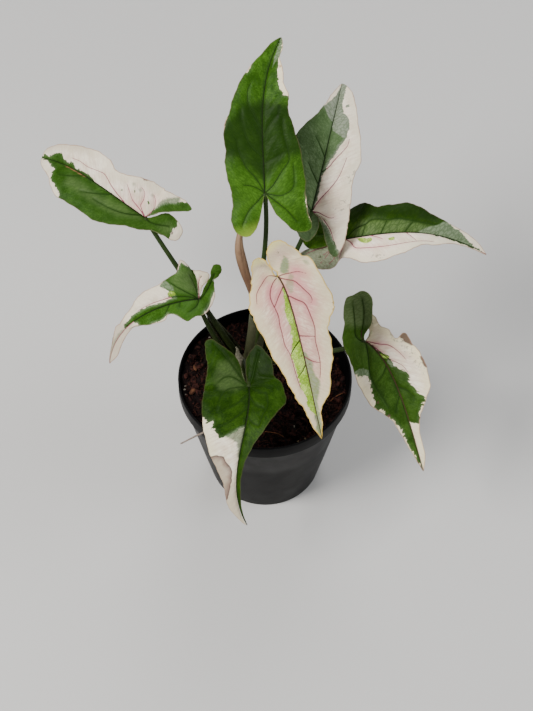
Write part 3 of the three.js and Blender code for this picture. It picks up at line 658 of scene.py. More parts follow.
            ("white", "left", [(-17, 2.5), (-16.5, 6), (-14.5, 6.5), (-13.5, 6), (-12, 8), (-11.5, 9.5),
                               (-10.5, 11), (-10, outside), (-28, outside), (-24, 2)]),
            ("rust", "left", [(34, -1), (38, 0.7), (50, 0.7), (54, -1)]),
            ("paintedSheen", "left", [(-7, 3), (-13, 3), (-14, 8), (-9, 8)]),
            ("brown", "left", spot(-12.5, 8.2, 0.4)),
            ("paintedSheen", "left", [(2, 2), (12, 8), (26, 10), (44, 9), (44, 4), (26, 5), (12, 2)]),
            ("shade", "right", [(38, outside), (40, 10), (52, 7.5), (63, 5), (74, 2), (80, outside)]),
        ],
        "veins": [
            ("right", [(0, 0), (5, 2), (10, 3.5), (13.5, 6), (17, 8.5)]),
            ("right", [(12, 0), (18, 1.5), (23.5, 3.5), (28.5, 6), (32, 5.7), (38.5, 4.5), (44, 5),
                       (50, 4.5)]),
            ("right", [(0, 0), (5, 3.5), (5.5, 6.5), (7, 10), (10, 11.5)]),
            ("right", [(0, 0), (-2, 6), (0, 9.5), (2.5, 12)]),
            ("left", [(2, 0), (9.5, 4.5), (17.5, 7), (26, 8)]),
            ("left", [(20, 0), (27, 5), (34, 8.5)]),
            ("left", [(38, 0), (44, 4), (50, 6)]),
            ("left", [(0, 0), (-6, 2), (-12, 4.5)]),
        ],
        "greens": [(0.011, 0.040, 0.001), (0.042, 0.098, 0.013)],
        "cream": [(0.62, 0.56, 0.43), (0.75, 0.70, 0.58)],
        "blush": 0.4,
        "lines": 0.25,
        "paintedSheenShare": 0.3,
        "shadeShare": 0.45,
        "jag": 1.0,
        "veinScale": 1.2,
    },
    "leaf_7": {
        "rib": [(-33, 15, 126), (-49, 8, 130), (-68, 3, 120), (-79, -5, 98)],
        "face": [(-0.1, -0.4, 0.9), (-0.3, -0.5, 0.8)],
        "wave": (1, 3, 0.7),
        "left": {
            "back": (0.6, 0.6, 0.5),
            "fold": (10, 15, 25, 20),
            "curl": -5,
            "vein": [(-9, -1.5), (-18, -4)],
            "inner": [(-8.5, -4.4), (-12.5, -4.9), (-15, -5.3), (-17.5, -7.2), (-20.5, -7.7),
                      (-22.4, -5.2)],
            "outer": [(-21.7, -2.8), (-19.5, -1.4), (-17, -1.2), (-15, -2.4), (-13, -0.5), (-10, 2.5),
                      (-5, 5.5)],
            "edge": [(2.5, 9.5), (7.5, 10.5), (12, 12), (15.5, 7), (19, 6), (22, 8.5), (29, 7.5), (37, 3.5),
                     (43, 3.5), (57.5, 5.5)],
        },
        "right": {
            "back": (0.75, 0.6, 0.1),
            "fold": (15, 15, 15, 10),
            "curl": -8,
            "vein": [(-4, 7), (-9, 10.5)],
            "inner": [(-5.5, 5.5), (-11, 6.5), (-13, 9)],
            "outer": [(-11, 12), (-7.5, 14.5), (2, 17)],
            "edge": [(6.5, 20.5), (8.5, 17.5), (10.5, 14.5), (19.5, 11), (29, 9.5), (34.5, 6.5), (43, 4),
                     (47.5, 4), (54, 1.5)],
        },
        "petiole": {"turn": 190, "radius": 1.7, "rise": (-22, 9, 90), "reach": (-32, 14, 110)},
        "marks": [
            ("white", "right", [(16, outside), (16.5, 12.5), (18, 11), (19, 10), (18, 9), (16, 7),
                                (15.5, 6), (16.5, 5), (16.5, 3.5), (13.5, 2.5), (17, 2), (21.5, 1.6),
                                (26, 2.5), (31, 3), (34, 3), (37, 2.5), (40, 2), (43, 1.5), (46, -1),
                                (74, -1), (74, outside)]),
            ("pale", "right", [(16.5, 14), (14.5, 10), (13, 7.5), (13.5, 6), (15.5, 6.5), (17.5, 8),
                               (19.5, 10), (18.5, 12.5)]),
            ("lime", "right", [(16, 6), (14.5, 6), (13, 5), (13, 3.5), (15.5, 3.3), (16.5, 4.5)]),
            ("white", "right", [(10, 14.6), (8.7, 16.5), (6.8, 18.8), (4.5, 17), (3, 16.6), (2, outside),
                                (12, outside)]),
            ("white", "right", [(0, -1), (-0.5, 2.5), (-2.5, 7.5), (-5.5, 12), (-7, outside),
                                (-24, outside), (-24, -2)]),
            ("white", "left", [(-9.5, 2.3), (-7, 2.9), (-5, 4.3), (-2, 6), (2, 8.4), (3.5, 10),
                               (4, outside), (-13, outside)]),
            ("white", "left", [(19, 5.3), (21, 7.2), (24, 8), (26.5, 7.6), (28, 7.2), (29, outside),
                               (18, outside)]),
            ("white", "left", [(34.5, outside), (35.5, 3), (37, 2), (37.5, 1), (38, -1), (74, -1),
                               (74, outside)]),
            ("paintedSheen", "right", [(8, 16), (2.5, 14), (1, 9), (1, 4.5), (7.5, 4), (13, 6), (14, 11),
                               (11.5, 13.5)]),
            ("shade", "right", [(42, -1), (42, outside), (74, outside), (74, -1)]),
            ("shade", "left", [(38, -1), (38, outside), (74, outside), (74, -1)]),
            ("faint", "right", [(43, -1), (46, 0.9), (60, 0.8), (70, 0.4), (72, -1)]),
            ("faint", "left", [(38, -1), (46, 0.6), (60, 0.6), (70, 0.3), (72, -1)]),
        ],
        "veins": [
            ("right", [(0, 0), (6.5, 3.5), (11, 7), (14, 10.5)]),
            ("right", [(0, 0), (9, 2), (15.5, 3), (20, 3), (26.5, 3.2), (33.5, 3)]),
            ("right", [(0, 0), (0.5, 6), (3, 12)]),
            ("right", [(0, 0), (-4, 7), (-8.5, 10)]),
            ("left", [(17, 0), (19, 3), (20.5, 5)]),
            ("left", [(11.5, 0), (12.5, 3)]),
            ("left", [(0, 0), (4, 4), (9, 7)]),
            ("left", [(0, 0), (-9, -1.5), (-17, -3.8)]),
        ],
        "greens": [(0.014, 0.050, 0.001), (0.053, 0.130, 0.016)],
        "cream": [(0.62, 0.56, 0.43), (0.76, 0.71, 0.59)],
        "blush": 0.5,
        "jag": 0.55,
        "fringe": 0.55,
        "veinScale": 1.3,
    },
    "leaf_8": {
        "rib": [(-8, -26, 108), (-10, -49, 104), (-14, -67, 88), (-9, -81, 66)],
        "face": [(0, -0.3, 0.95), (0.1, -0.7, 0.7)],
        "wave": (1.2, 3, 0.4),
        "left": {
            "back": (0.1, 0.8, 0.6),
            "fold": (10, 15, 30, 45),
            "curl": -8,
            "vein": [(-14, 5)],
            "inner": [(-4.5, -0.8), (-10, -1.8), (-15.5, -1.8), (-19.5, 0.3), (-22.4, 3)],
            "outer": [(-19, 8), (-13.5, 12), (-3, 14)],
            "edge": [(3, 17), (9.5, 18.5), (14.5, 14.5), (22.5, 10), (31.5, 6), (40.5, 3.5), (50, 2.5),
                     (60, 2)],
        },
        "right": {
            "back": (-0.1, 0.8, 0.6),
            "fold": (10, 15, 10, 10),
            "curl": -8,
            "vein": [(-17, 12.5)],
            "inner": [(-7, 2.5), (-13.5, 3.5), (-18.5, 6.5), (-22.5, 11), (-26.5, 16)],
            "outer": [(-24.5, 19.5), (-17.5, 19.5), (-12, 19.5)],
            "edge": [(-4, 21.5), (11, 23), (22.5, 21.5), (30.5, 18.5), (39.5, 13.5), (46, 9), (53, 6),
                     (60.5, 5.5), (68, 3)],
        },
        "petiole": {"turn": 255, "radius": 1.8, "rise": (-11, 2, 101), "reach": (-8.5, -12, 106.5)},
        "marks": [
            ("white", "right", [(22, outside), (22, 22), (22.5, 20), (24.5, 19), (23, 16), (25, 16),
                                (27, 16.5), (27, 14), (28.5, 13), (30.5, 11.5), (29, 8.5), (29, 7.5),
                                (27, 6), (24.5, 3), (22.5, 1), (22, -1), (80, -1), (80, outside)]),
            ("veil", "right", [(22, -1), (22.5, 1.5), (27, 6.5), (29, 9), (30, 4.5), (31, 2.5), (33, 1.5),
                               (37.5, 1), (39, -1)]),
            ("paintedSheen", "right", [(-14.5, 13.5), (-15, 7), (-5.5, 3), (0, 2.5), (3, 7), (2.5, 14.5),
                               (-5.5, 17)]),
            ("shade", "left", [(3, -2), (-24, -4), (-26, 3.5), (-19, 12), (-11, 16), (-2, 12), (3, 5)]),
            ("shade", "right", [(2, -1), (-6, -1), (-16, 4), (-26, 14), (-19, 12), (-12, 7), (-5, 4)]),
            ("shade", "right", [(52, -1), (52, outside), (74, outside), (74, -1)]),
            ("bruise", "right", [(40, 16), (38.5, 11.5), (38.5, 7.5), (41, 6), (43, 3.5), (45.5, 2.5),
                                 (49.5, 2.5), (54, 3.5), (58.5, 5), (60, 8), (50, outside),
                                 (40, outside)]),
        ],
        "veins": [
            ("right", [(0, 0), (0.5, 5.5), (2, 10.5), (6.5, 13.5), (13, 15), (18, 15.5)]),
            ("right", [(4, 0), (8, 3), (12.5, 7), (16.5, 12), (19, 14.5)]),
            ("right", [(12, 0), (16, 3), (20, 6.5), (23.5, 10.5), (25, 13.5)]),
            ("right", [(0, 0), (-8, 4.5), (-15, 8.5), (-20.5, 12), (-24, 15)]),
            ("right", [(0, 0), (-6, 7), (-6.5, 11.5), (-3.5, 15.5)]),
            ("left", [(0, 0), (4.5, 5.5), (5.5, 8.5), (9.5, 9.5), (13, 9), (16.5, 7.5), (20.5, 7)]),
            ("left", [(6, 0), (11, 3.5), (13, 8.5)]),
            ("left", [(17, 0), (20, 3.5), (21, 6.8)]),
            ("left", [(0, 0), (-5.5, 2), (-12.5, 3), (-19, 4)]),
            ("left", [(0, 0), (1.5, 7), (3.5, 11.5)]),
        ],
        "greens": [(0.0055, 0.021, 0.0003), (0.027, 0.067, 0.005)],
        "gloss": 0.05,
        "paintedSheenShare": 0.3,
        "paintedBaseLight": 0.1,
        "jag": 0.9,
        "veinScale": 1.3,
        "edgeShare": 0.35,
        "margin": (0.68, 0.62, 0.42),
        "blush": 0.35,
        "lines": 0.32,
    },
}


def unit(vectors):
    vectors = np.asarray(vectors, float)
    return vectors / np.linalg.norm(vectors, axis=-1, keepdims=True)


def alongOf(vectors, way):
    return np.sum(vectors * way, axis=-1, keepdims=True)


# A smooth line through listed points, at places from 0 to 1
def lineThrough(points, places):
    points = np.asarray(points, float)
    last = len(points) - 1
    position = np.clip(np.asarray(places, float), 0, 1) * last
    low = np.minimum(np.floor(position), last).astype(int)
    share = (position - low)[:, None]
    before = points[np.maximum(low - 1, 0)]
    here = points[low]
    after = points[np.minimum(low + 1, last)]
    beyond = points[np.minimum(low + 2, last)]
    leave = (after - before) / 2
    arrive = (beyond - here) / 2
    cubed = (2 * here - 2 * after + leave + arrive) * share ** 3
    squared = (-3 * here + 3 * after - 2 * leave - arrive) * share ** 2
    return cubed + squared + leave * share + here


# A cubic curve with an even measure along it
class Bend:
    def __init__(self, controls, samples=400):
        self.controls = np.asarray(controls, float)
        self.steps = np.linspace(0, 1, samples)
        places = self.at(self.steps)
        gaps = np.linalg.norm(np.diff(places, axis=0), axis=1)
        self.measure = np.concatenate([[0], np.cumsum(gaps)])
        self.length = self.measure[-1]

    def at(self, t):
        t = np.asarray(t, float)[:, None]
        a, b, c, d = self.controls
        return (1 - t) ** 3 * a + 3 * (1 - t) ** 2 * t * b + 3 * (1 - t) * t ** 2 * c + t ** 3 * d

    def frameAt(self, distance):
        t = np.interp(distance, self.measure, self.steps)
        a, b, c, d = self.controls
        k = t[:, None]
        way = (1 - k) ** 2 * (b - a) + 2 * (1 - k) * k * (c - b) + k ** 2 * (d - c)
        return self.at(t), unit(way)


def ribOf(leaf):
    a, b, c, d = [np.asarray(point, float) for point in leaf["rib"]]
    return Bend([a, (-5 * a + 18 * b - 9 * c + 2 * d) / 6, (2 * a - 9 * b + 18 * c - 5 * d) / 6, d])


# Points of the blade and the way its face looks there: x along the rib, y out from it
def bladePoints(leaf, sideName, flat):
    side = leaf[sideName]
    sign = 1 if sideName == "left" else -1
    flat = np.asarray(flat, float)
    x, y = flat[:, 0:1], flat[:, 1:2]
    rib = leaf["curve"]
    share = np.clip(x / rib.length, 0, 1)
    centre, forward = rib.frameAt(np.clip(flat[:, 0], 0, rib.length))
    face = unit(leaf["face"][0]) * (1 - share) + unit(leaf["face"][1]) * share
    face = unit(face - forward * alongOf(face, forward))
    back = unit(side["back"])
    reach = np.maximum(-x, 0)
    turn = bladeForm["lobeTurn"]
    turned = np.where(reach < turn, reach ** 2 / (2 * turn), reach - turn / 2)
    centre = centre + forward * (turned - reach) + back * turned
    turnShare = np.minimum(reach / turn, 1)
    forward = unit(forward * (1 - turnShare) - back * turnShare)
    face = unit(face - forward * alongOf(face, forward))
    left = np.cross(face, forward)
    lobe, base, middle, tip = side["fold"]
    inBlade = (base * (1 - share) * (1 - 2 * share) + 4 * middle * share * (1 - share)
               + tip * share * (2 * share - 1))
    inLobe = base + (lobe - base) * (x / bladeForm["lobeLength"]) ** 2
    fold = np.where(x < 0, inLobe, inBlade)
    angle = np.radians(fold + side["curl"] * np.abs(y) / bladeForm["halfWidth"])
    height, count, start = leaf["wave"]
    phase = start + (0 if sideName == "left" else bladeForm["waveShift"])
    wave = height * np.sin(2 * np.pi * (count * x / rib.length + phase)) * (y / bladeForm["halfWidth"]) ** 2
    return centre + left * sign * y * np.cos(angle) + face * (np.abs(y) * np.sin(angle) + wave)


# The blade's face direction, from two short steps over the surface
def bladeNormals(leaf, sideName, flat):
    flat = np.asarray(flat, float)
    step = 0.05
    here = bladePoints(leaf, sideName, flat)
    ahead = np.where(flat[:, 0:1] + step > leaf["curve"].length, -step, step)
    onward = (bladePoints(leaf, sideName, flat + ahead * (1, 0)) - here) / ahead
    outward = bladePoints(leaf, sideName, flat + (0, step)) - here
    crossed = np.cross(onward, outward) if sideName == "left" else np.cross(outward, onward)
    return here, unit(crossed)


# A half's margin, at places from 0 at the petiole to 1 at the tip, slightly ragged as a grown leaf's is
def marginAt(leaf, sideName, places):
    side = leaf[sideName]
    line = lineThrough([*side["inner"], *side["outer"], *side["edge"], (leaf["curve"].length, 0)], places)
    ragged = leaf.get("ragged", bladeForm["ragged"]) * np.sin(np.pi * np.asarray(places)) ** 0.4
    seed = leaf["seed"]
    line[:, 1] += ragged * (np.sin(90 * places + seed) + 0.6 * np.sin(205 * places + 2 * seed))
    return line


# Where a half's rows start and end: out along the lobe's vein and back, then along the rib to the tip
def halfRows(leaf, sideName):
    side = leaf[sideName]
    last = len(side["inner"]) + len(side["outer"]) + len(side["edge"])
    lobeTip = (len(side["inner"]) - 1) / last
    shoulder = (len(side["inner"]) + len(side["outer"]) - 1) / last
    lobeSteps = bladeForm["lobeSteps"]
    out = np.linspace(0, 1, lobeSteps + 1)
    along = np.linspace(0, 1, bladeForm["bladeSteps"] + 1)[1:]
    lobeBack = lobeTip + (shoulder - lobeTip) * out[1:]
    places = np.concatenate([lobeTip * out, lobeBack, shoulder + (1 - shoulder) * along])
    reached = len(side["vein"]) / (len(side["vein"]) + 1)
    vein = lineThrough([(0, 0), *side["vein"], side["inner"][-1]], np.sin(out * np.pi / 2) * reached)
    ribPart = np.stack([along * leaf["curve"].length, np.zeros_like(along)], axis=1)
    spine = np.concatenate([vein, vein[::-1][1:], ribPart])
    return spine, marginAt(leaf, sideName, places)


# Distance from points to a line of points, and whether they are inside it when it is closed
def distanceTo(flat, line, closed=False):
    line = np.asarray(line, float)
    starts = line if closed else line[:-1]
    ends = np.roll(line, -1, axis=0) if closed else line[1:]
    nearest = np.full(len(flat), 1e9)
    inside = np.zeros(len(flat), bool)
    for start, end in zip(starts, ends):
        way = end - start
        share = np.clip(((flat - start) @ way) / max(way @ way, 1e-9), 0, 1)
        nearest = np.minimum(nearest, np.linalg.norm(flat - start - share[:, None] * way, axis=1))
        if closed:
            spans = (start[1] > flat[:, 1]) != (end[1] > flat[:, 1])
            crossing = start[0] + way[0] * (flat[:, 1] - start[1]) / (way[1] if way[1] else 1e-9)
            inside ^= spans & (flat[:, 0] < crossing)
    return np.where(inside, nearest, -nearest) if closed else nearest


markKinds = ["white", "pale", "veil", "ochre", "faint", "lime", "paintedLight", "green", "paintedSheen", "shade", "blot",
             "bruise", "brown", "smudge", "rust"]
fieldNames = markKinds + ["edge", "vein", "base"]
farAway = 8.0


# Millimetres inside (above zero) or outside each kind of mark, and to the margin, the veins and the petiole
def fieldsAt(leaf, sideName, flat):
    fields = {kind: np.full(len(flat), -farAway) for kind in markKinds}
    for kind, side, outline in leaf["marks"]:
        if side == sideName:
            fields[kind] = np.maximum(fields[kind], distanceTo(flat, outline, closed=True))
    fields["white"] = np.minimum(fields["white"], -fields["green"])
    fields["edge"] = distanceTo(flat, [(0, 0), *marginAt(leaf, sideName, np.linspace(0, 1, 160))])
    fields["vein"] = np.abs(flat[:, 1])
    fields["vein"][flat[:, 0] < 0] = farAway
    for side, points in leaf["veins"]:
        if side == sideName:
            line = lineThrough(points, np.linspace(0, 1, 30))
            fields["vein"] = np.minimum(fields["vein"], distanceTo(flat, line))
    fields["base"] = np.linalg.norm(flat, axis=1)
    return {name: np.clip(values, -farAway, 4 * farAway) for name, values in fields.items()}


# How far the surface lies below its even form at a vein, and bulges between them
def reliefAt(fields, flat, seed):
    groove = bladeForm["groove"] * np.exp(-(fields["vein"] / bladeForm["grooveWidth"]) ** 2)
    inner = np.clip(fields["vein"] / 3.5, 0, 1) * np.clip(fields["edge"] / 3.5, 0.15, 1)
    turn = 2 * np.pi / bladeForm["puckerSize"]
    slanted = (flat[:, 0] - 0.7 * np.abs(flat[:, 1])) * turn + seed
    ripples = (np.sin(slanted + 1.2 * np.sin(flat[:, 1] * turn * 0.6 + seed))
               * np.cos(flat[:, 1] * turn * 0.45 + 2 * seed))
    return bladeForm["bulge"] * inner + bladeForm["pucker"] * inner * ripples - groove


def fillLayers(verts, layers, fields, flat, flatLayer, sideName):
    sign = 1 if sideName == "left" else -1
    for i, vert in enumerate(verts):
        for name, layer in layers.items():
            vert[layer] = float(fields[name][i])
        vert[flatLayer] = (flat[i][0] * mm, flat[i][1] * sign * mm, 0)


veinForm = {"sides": 6, "steps": 26, "ribSteps": 70, "ribWidth": (1.1, 0.3), "width": (0.55, 0.22),
            "flatness": 0.3, "lift": 0.02}


# A vein: a thin flattened thread that lies in its groove and narrows towards its end
def addVein(bm, leaf, sideName, points, widths, steps, layers, flatLayer):
    flat = lineThrough(points, np.linspace(0, 1, steps + 1))
    fields = fieldsAt(leaf, sideName, flat)
    fields["vein"][:] = 0
    here, up = bladeNormals(leaf, sideName, flat)
    here = here + up * (reliefAt(fields, flat, leaf["seed"]) + veinForm["lift"])[:, None]
    way = unit(np.gradient(here, axis=0))
    across = unit(np.cross(up, way))
    sides = veinForm["sides"]
    made = bmesh.ops.create_grid(bm, x_segments=sides, y_segments=steps, size=1)["verts"]
    half = np.linspace(widths[0], widths[1], steps + 1) / 2
    half[[0, -1]] = 0
    for i, vert in enumerate(made):
        row, column = divmod(i, sides + 1)
        turn = 2 * math.pi * column / sides
        place = here[row] + across[row] * half[row] * math.cos(turn)
        place = place - up[row] * half[row] * veinForm["flatness"] * math.sin(turn)
        vert.co = place * mm
    rows = np.repeat(np.arange(steps + 1), sides + 1)
    repeated = {name: values[rows] for name, values in fields.items()}
    fillLayers(made, layers, repeated, flat[rows], flatLayer, sideName)
    faces = {face for vert in made for face in vert.link_faces}
    for face in faces:
        face.material_index = 2
    bmesh.ops.remove_doubles(bm, verts=made, dist=1e-6)


# The blade's underside: the same sheet a leaf's thickness lower, with ridges under the veins. Side walls join
# the two sheets at the margin.
def addUnderside(bm, layers):
    rimLoops = [edge.link_loops[0] for edge in bm.edges if edge.is_boundary]
    rim = [(loop.vert, loop.link_loop_next.vert) for loop in rimLoops]
    copied = bmesh.ops.duplicate(bm, geom=[*bm.verts, *bm.edges, *bm.faces])
    twins = copied["vert_map"]
    lower = [item for item in copied["geom"] if isinstance(item, bmesh.types.BMVert)]
    shifts = []
    for vert in lower:
        top = twins[vert]
        thin = min(1, 0.45 + 0.3 * max(0, vert[layers["edge"]]))
        ridge = bladeForm["ridge"] * math.exp(-(vert[layers["vein"]] / bladeForm["ridgeWidth"]) ** 2)
        shifts.append(top.normal * (bladeForm["thickness"] * thin + ridge * thin) * mm)
    for vert, shift in zip(lower, shifts):
        vert.co -= shift
    underFaces = [item for item in copied["geom"] if isinstance(item, bmesh.types.BMFace)]
    bmesh.ops.reverse_faces(bm, faces=underFaces)
    for face in underFaces:
        face.material_index = 1
    for first, second in rim:
        bm.faces.new((second, first, twins[first], twins[second]))


def makeBlade(name, leaf):
    leaf["curve"] = ribOf(leaf)
    leaf["seed"] = float(name[-1])
    bm = bmesh.new()
    layers = {field: bm.verts.layers.float.new(field) for field in fieldNames}
    flatLayer = bm.verts.layers.float_vector.new("flat")
    columns = bladeForm["acrossSteps"]
    out = np.linspace(0, 1, columns + 1)[None, :, None]
    for sideName in ("left", "right"):
        spine, rim = halfRows(leaf, sideName)
        flat = (spine[:, None] * (1 - out) + rim[:, None] * out).reshape(-1, 2)
        fields = fieldsAt(leaf, sideName, flat)
        places, up = bladeNormals(leaf, sideName, flat)
        places = (places + up * reliefAt(fields, flat, leaf["seed"])[:, None]) * mm
        grid = bmesh.ops.create_grid(bm, x_segments=columns, y_segments=len(spine) - 1, size=1)["verts"]
        for vert, place in zip(grid, places):
            vert.co = place
        fillLayers(grid, layers, fields, flat, flatLayer, sideName)
        if sideName == "left":
            faces = list({face for vert in grid for face in vert.link_faces})
            bmesh.ops.reverse_faces(bm, faces=faces)
    bmesh.ops.remove_doubles(bm, verts=bm.verts, dist=2e-6)
    bm.normal_update()
    addUnderside(bm, layers)
    length = leaf["curve"].length
    ribLine = [(length * share, 0) for share in np.linspace(0, 1, 12)]
    ribWidth = [width * leaf.get("ribScale", 1) for width in veinForm["ribWidth"]]
    veinWidth = [width * leaf.get("veinScale", 1) for width in veinForm["width"]]
    addVein(bm, leaf, "left", ribLine, ribWidth, veinForm["ribSteps"], layers, flatLayer)
    for sideName, points in leaf["veins"]:
        addVein(bm, leaf, sideName, points, veinWidth, veinForm["steps"], layers, flatLayer)
    return bm


# A leaf's own entry of the same name goes before the one here
bladeLook = {
    "cream": [(0.68, 0.61, 0.46), (0.79, 0.74, 0.61)],
    "paintedShadeCream": (0.25, 0.195, 0.155),
    "pale": (0.13, 0.17, 0.10),
    "paintedSheen": (0.115, 0.165, 0.065),
    "lime": [(0.20, 0.34, 0.02), (0.42, 0.55, 0.13)],
    "blushColour": (0.64, 0.25, 0.27),
    "lineTint": (0.42, 0.25, 0.21),
    "bruise": (0.135, 0.078, 0.066),
    "bruiseLine": (0.07, 0.04, 0.04),
    "brown": (0.07, 0.035, 0.025),
    "rust": (0.32, 0.15, 0.07),
    "paintedLight": (0.22, 0.31, 0.04),
    "ochre": (0.52, 0.48, 0.20),
    "edgeColour": (0.30, 0.17, 0.12),
    "veinColour": (0.22, 0.045, 0.08),
    "darkVein": (0.008, 0.014, 0.004),
    "greenVein": (0.011, 0.030, 0.003),
    "under": (0.20, 0.26, 0.14),
    "netSize": 0.0019,
    "netStretch": (1.25, 0.7),
    "netSlant": 0.7,
    "jag": 1.1,
    "gloss": 0.07,
    "paintedBaseLight": 0.4,
    "greenNet": 0.3,
    "paintedSheenShare": 0.42,
    "shadeShare": 0.6,
    "faintShare": 0.55,
    "netShare": 0.14,
    "lines": 0.16,
    "blush": 0.5,
    "blushReach": 26.0,
    "blushWidth": 2.6,
    "marginReach": 7.0,
    "fringe": 0.2,
    "edgeWidth": 0.55,
    "edgeShare": 0.75,
    "allWhite": False,
}


# Leaf coordinates for the fine veins: drawn out away from the rib, slanted to the tip and unevenly bent
def netPlace(tree):
    split = tree.nodes.new("ShaderNodeSeparateXYZ")
    tree.links.new(vectorField(tree, "flat"), split.inputs["Vector"])
    out = maths(tree, "ABSOLUTE", split.outputs["Y"])
    along = maths(tree, "MULTIPLY_ADD", out, -bladeLook["netSlant"], split.outputs["X"])
    stretchAlong, stretchOut = bladeLook["netStretch"]
    combined = tree.nodes.new("ShaderNodeCombineXYZ")
    tree.links.new(maths(tree, "MULTIPLY", along, stretchAlong), combined.inputs["X"])
    tree.links.new(maths(tree, "MULTIPLY", split.outputs["Y"], stretchOut), combined.inputs["Y"])
    noiseNode = tree.nodes.new("ShaderNodeTexNoise")
    tree.links.new(combined.outputs["Vector"], noiseNode.inputs["Vector"])
    noiseNode.inputs["Scale"].default_value = 450
    shift = tree.nodes.new("ShaderNodeVectorMath")
    shift.operation = "MULTIPLY_ADD"
    tree.links.new(noiseNode.outputs["Color"], shift.inputs[0])
    shift.inputs[1].default_value = (0.0016, 0.0016, 0)
    tree.links.new(combined.outputs["Vector"], shift.inputs[2])
    drawn = tree.nodes.new("ShaderNodeCombineXYZ")
    tree.links.new(maths(tree, "MULTIPLY", along, 6.0), drawn.inputs["X"])
    tree.links.new(split.outputs["Y"], drawn.inputs["Y"])
    return shift.outputs["Vector"], drawn.outputs["Vector"]


# How much of a kind of mark shows: its distance, with an uneven border, between two values
def markMask(tree, kind, unevenness, low, high, share=1.0):
    return ramp(tree, maths(tree, "ADD", fieldOf(tree, kind), unevenness), low, high, 0.0, share)


def bladeMaterial(name, leaf, part):
    look = {**bladeLook, **leaf}
    material, tree, shader = newMaterial(name, roughness=0.5 if part == "face" else 0.6,
                                         specular=look["gloss"])
    place = objectPlace(tree)
    net, streakPlace = netPlace(tree)
    gap = cellsOf(tree, net, look["netSize"], "DISTANCE_TO_EDGE", "Distance")
    netLine = ramp(tree, gap, 0.0, 0.2, 1.0, 0.0)
    steps = []
    for size in (look["netSize"], look["netSize"] * 0.45):
        cell = tree.nodes.new("ShaderNodeSeparateColor")
        tree.links.new(cellsOf(tree, net, size), cell.inputs["Color"])
        steps.append(maths(tree, "SUBTRACT", cell.outputs["Red"], 0.5))
    patch = noiseOf(tree, place, 0.006, detail=3)
    streak = noiseOf(tree, streakPlace, 0.007, detail=3)
    grain = noiseOf(tree, place, 0.0006, detail=3)
    broad = noiseOf(tree, place, 0.02, detail=1)
    jag = maths(tree, "MULTIPLY", steps[0], look["jag"])
    jag = maths(tree, "MULTIPLY_ADD", steps[1], 0.6 * look["jag"], jag)
    jag = maths(tree, "MULTIPLY_ADD", maths(tree, "SUBTRACT", patch, 0.5), 1.2, jag)
    softJag = maths(tree, "MULTIPLY", jag, 0.6)
    veinGap = fieldOf(tree, "vein")
    base = fieldOf(tree, "base")
    edge = fieldOf(tree, "edge")
    deep, bright = look["greens"]
    mottle = maths(tree, "MULTIPLY_ADD", grain, 0.45, maths(tree, "MULTIPLY", patch, 0.55))
    green = mixed(tree, ramp(tree, mottle, 0.35, 0.65), deep, bright)
    green = mixed(tree, ramp(tree, broad, 0.35, 0.7, 0.0, 0.45), green, deep)
    # Painted light: the green is made lighter near the petiole, for light falling on the lobes and lower
    # blade
    green = mixed(tree, ramp(tree, base, 4.0, 30.0, look["paintedBaseLight"], 0.0), green, bright)
    # Painted sheen: a lighter grey-green laid over the green where the leaf's gloss would catch the light
    paintedSheen = markMask(tree, "paintedSheen", patch, -2.0, 2.5, look["paintedSheenShare"])
    green = mixed(tree, paintedSheen, green, look["paintedSheen"])
    green = mixed(tree, ramp(tree, veinGap, 0.15, 1.1, 0.5, 0.0), green, deep)
    green = mixed(tree, maths(tree, "MULTIPLY", netLine, look["greenNet"]), green, deep)
    # Painted shade: shade marks darken the green where the blade lies in shade or faces away from the light
    darkest = tuple(0.4 * value for value in deep)
    shade = markMask(tree, "shade", patch, -2.5, 4.0, look["shadeShare"])
    green = mixed(tree, shade, green, darkest)
    blot = markMask(tree, "blot", softJag, -0.7, 0.4, 0.8)
    green = mixed(tree, blot, green, darkest)
    pale = mixed(tree, grain, look["pale"], tuple(1.35 * value for value in look["pale"]))
    pale = mixed(tree, maths(tree, "MULTIPLY", netLine, 0.45), pale, deep)
    creamLow, creamHigh = look["cream"]
    cream = mixed(tree, ramp(tree, patch, 0.35, 0.65), creamLow, creamHigh)
    creamNet = maths(tree, "MULTIPLY", netLine, look["netShare"])
    cream = mixed(tree, creamNet, cream, look["lineTint"])
    fineLines = ramp(tree, streak, 0.47, 0.58, 0.0, look["lines"])
    cream = mixed(tree, fineLines, cream, look["lineTint"])
    nearBase = ramp(tree, base, 3.0, look["blushReach"], look["blush"], 0.04)
    nearVein = ramp(tree, veinGap, 0.1, look["blushWidth"], 1.0, 0.25)
    cream = mixed(tree, maths(tree, "MULTIPLY", nearBase, nearVein), cream, look["blushColour"])
    nearEdge = ramp(tree, edge, 0.0, look["marginReach"], 0.75, 0.0)
    cream = mixed(tree, nearEdge, cream, leaf.get("margin", creamLow))
    # Painted shade on the white parts under the same shade marks
    cream = mixed(tree, maths(tree, "MULTIPLY", shade, 0.8), cream, look["paintedShadeCream"])
    # Faint marks grey the white parts; on leaf 3's hidden lobe this is painted shadow
    faint = markMask(tree, "faint", softJag, -0.6, 0.6, look["faintShare"])
    cream = mixed(tree, faint, cream, pale)
    smudge = markMask(tree, "smudge", softJag, -0.5, 0.8)
    scribble = ramp(tree, noiseOf(tree, place, 0.0012, detail=4), 0.54, 0.62)
    smudge = maths(tree, "MULTIPLY", maths(tree, "MULTIPLY", smudge, scribble), 0.62)
    cream = mixed(tree, smudge, cream, (0.22, 0.2, 0.16))
    whiteMask = markMask(tree, "white", jag, -0.1, 0.1)
    fringe = markMask(tree, "white", softJag, -1.7, -0.1, look["fringe"])
    paleMask = markMask(tree, "pale", softJag, -0.35, 0.35, 0.9)
    limeMask = markMask(tree, "lime", softJag, -0.15, 0.15)
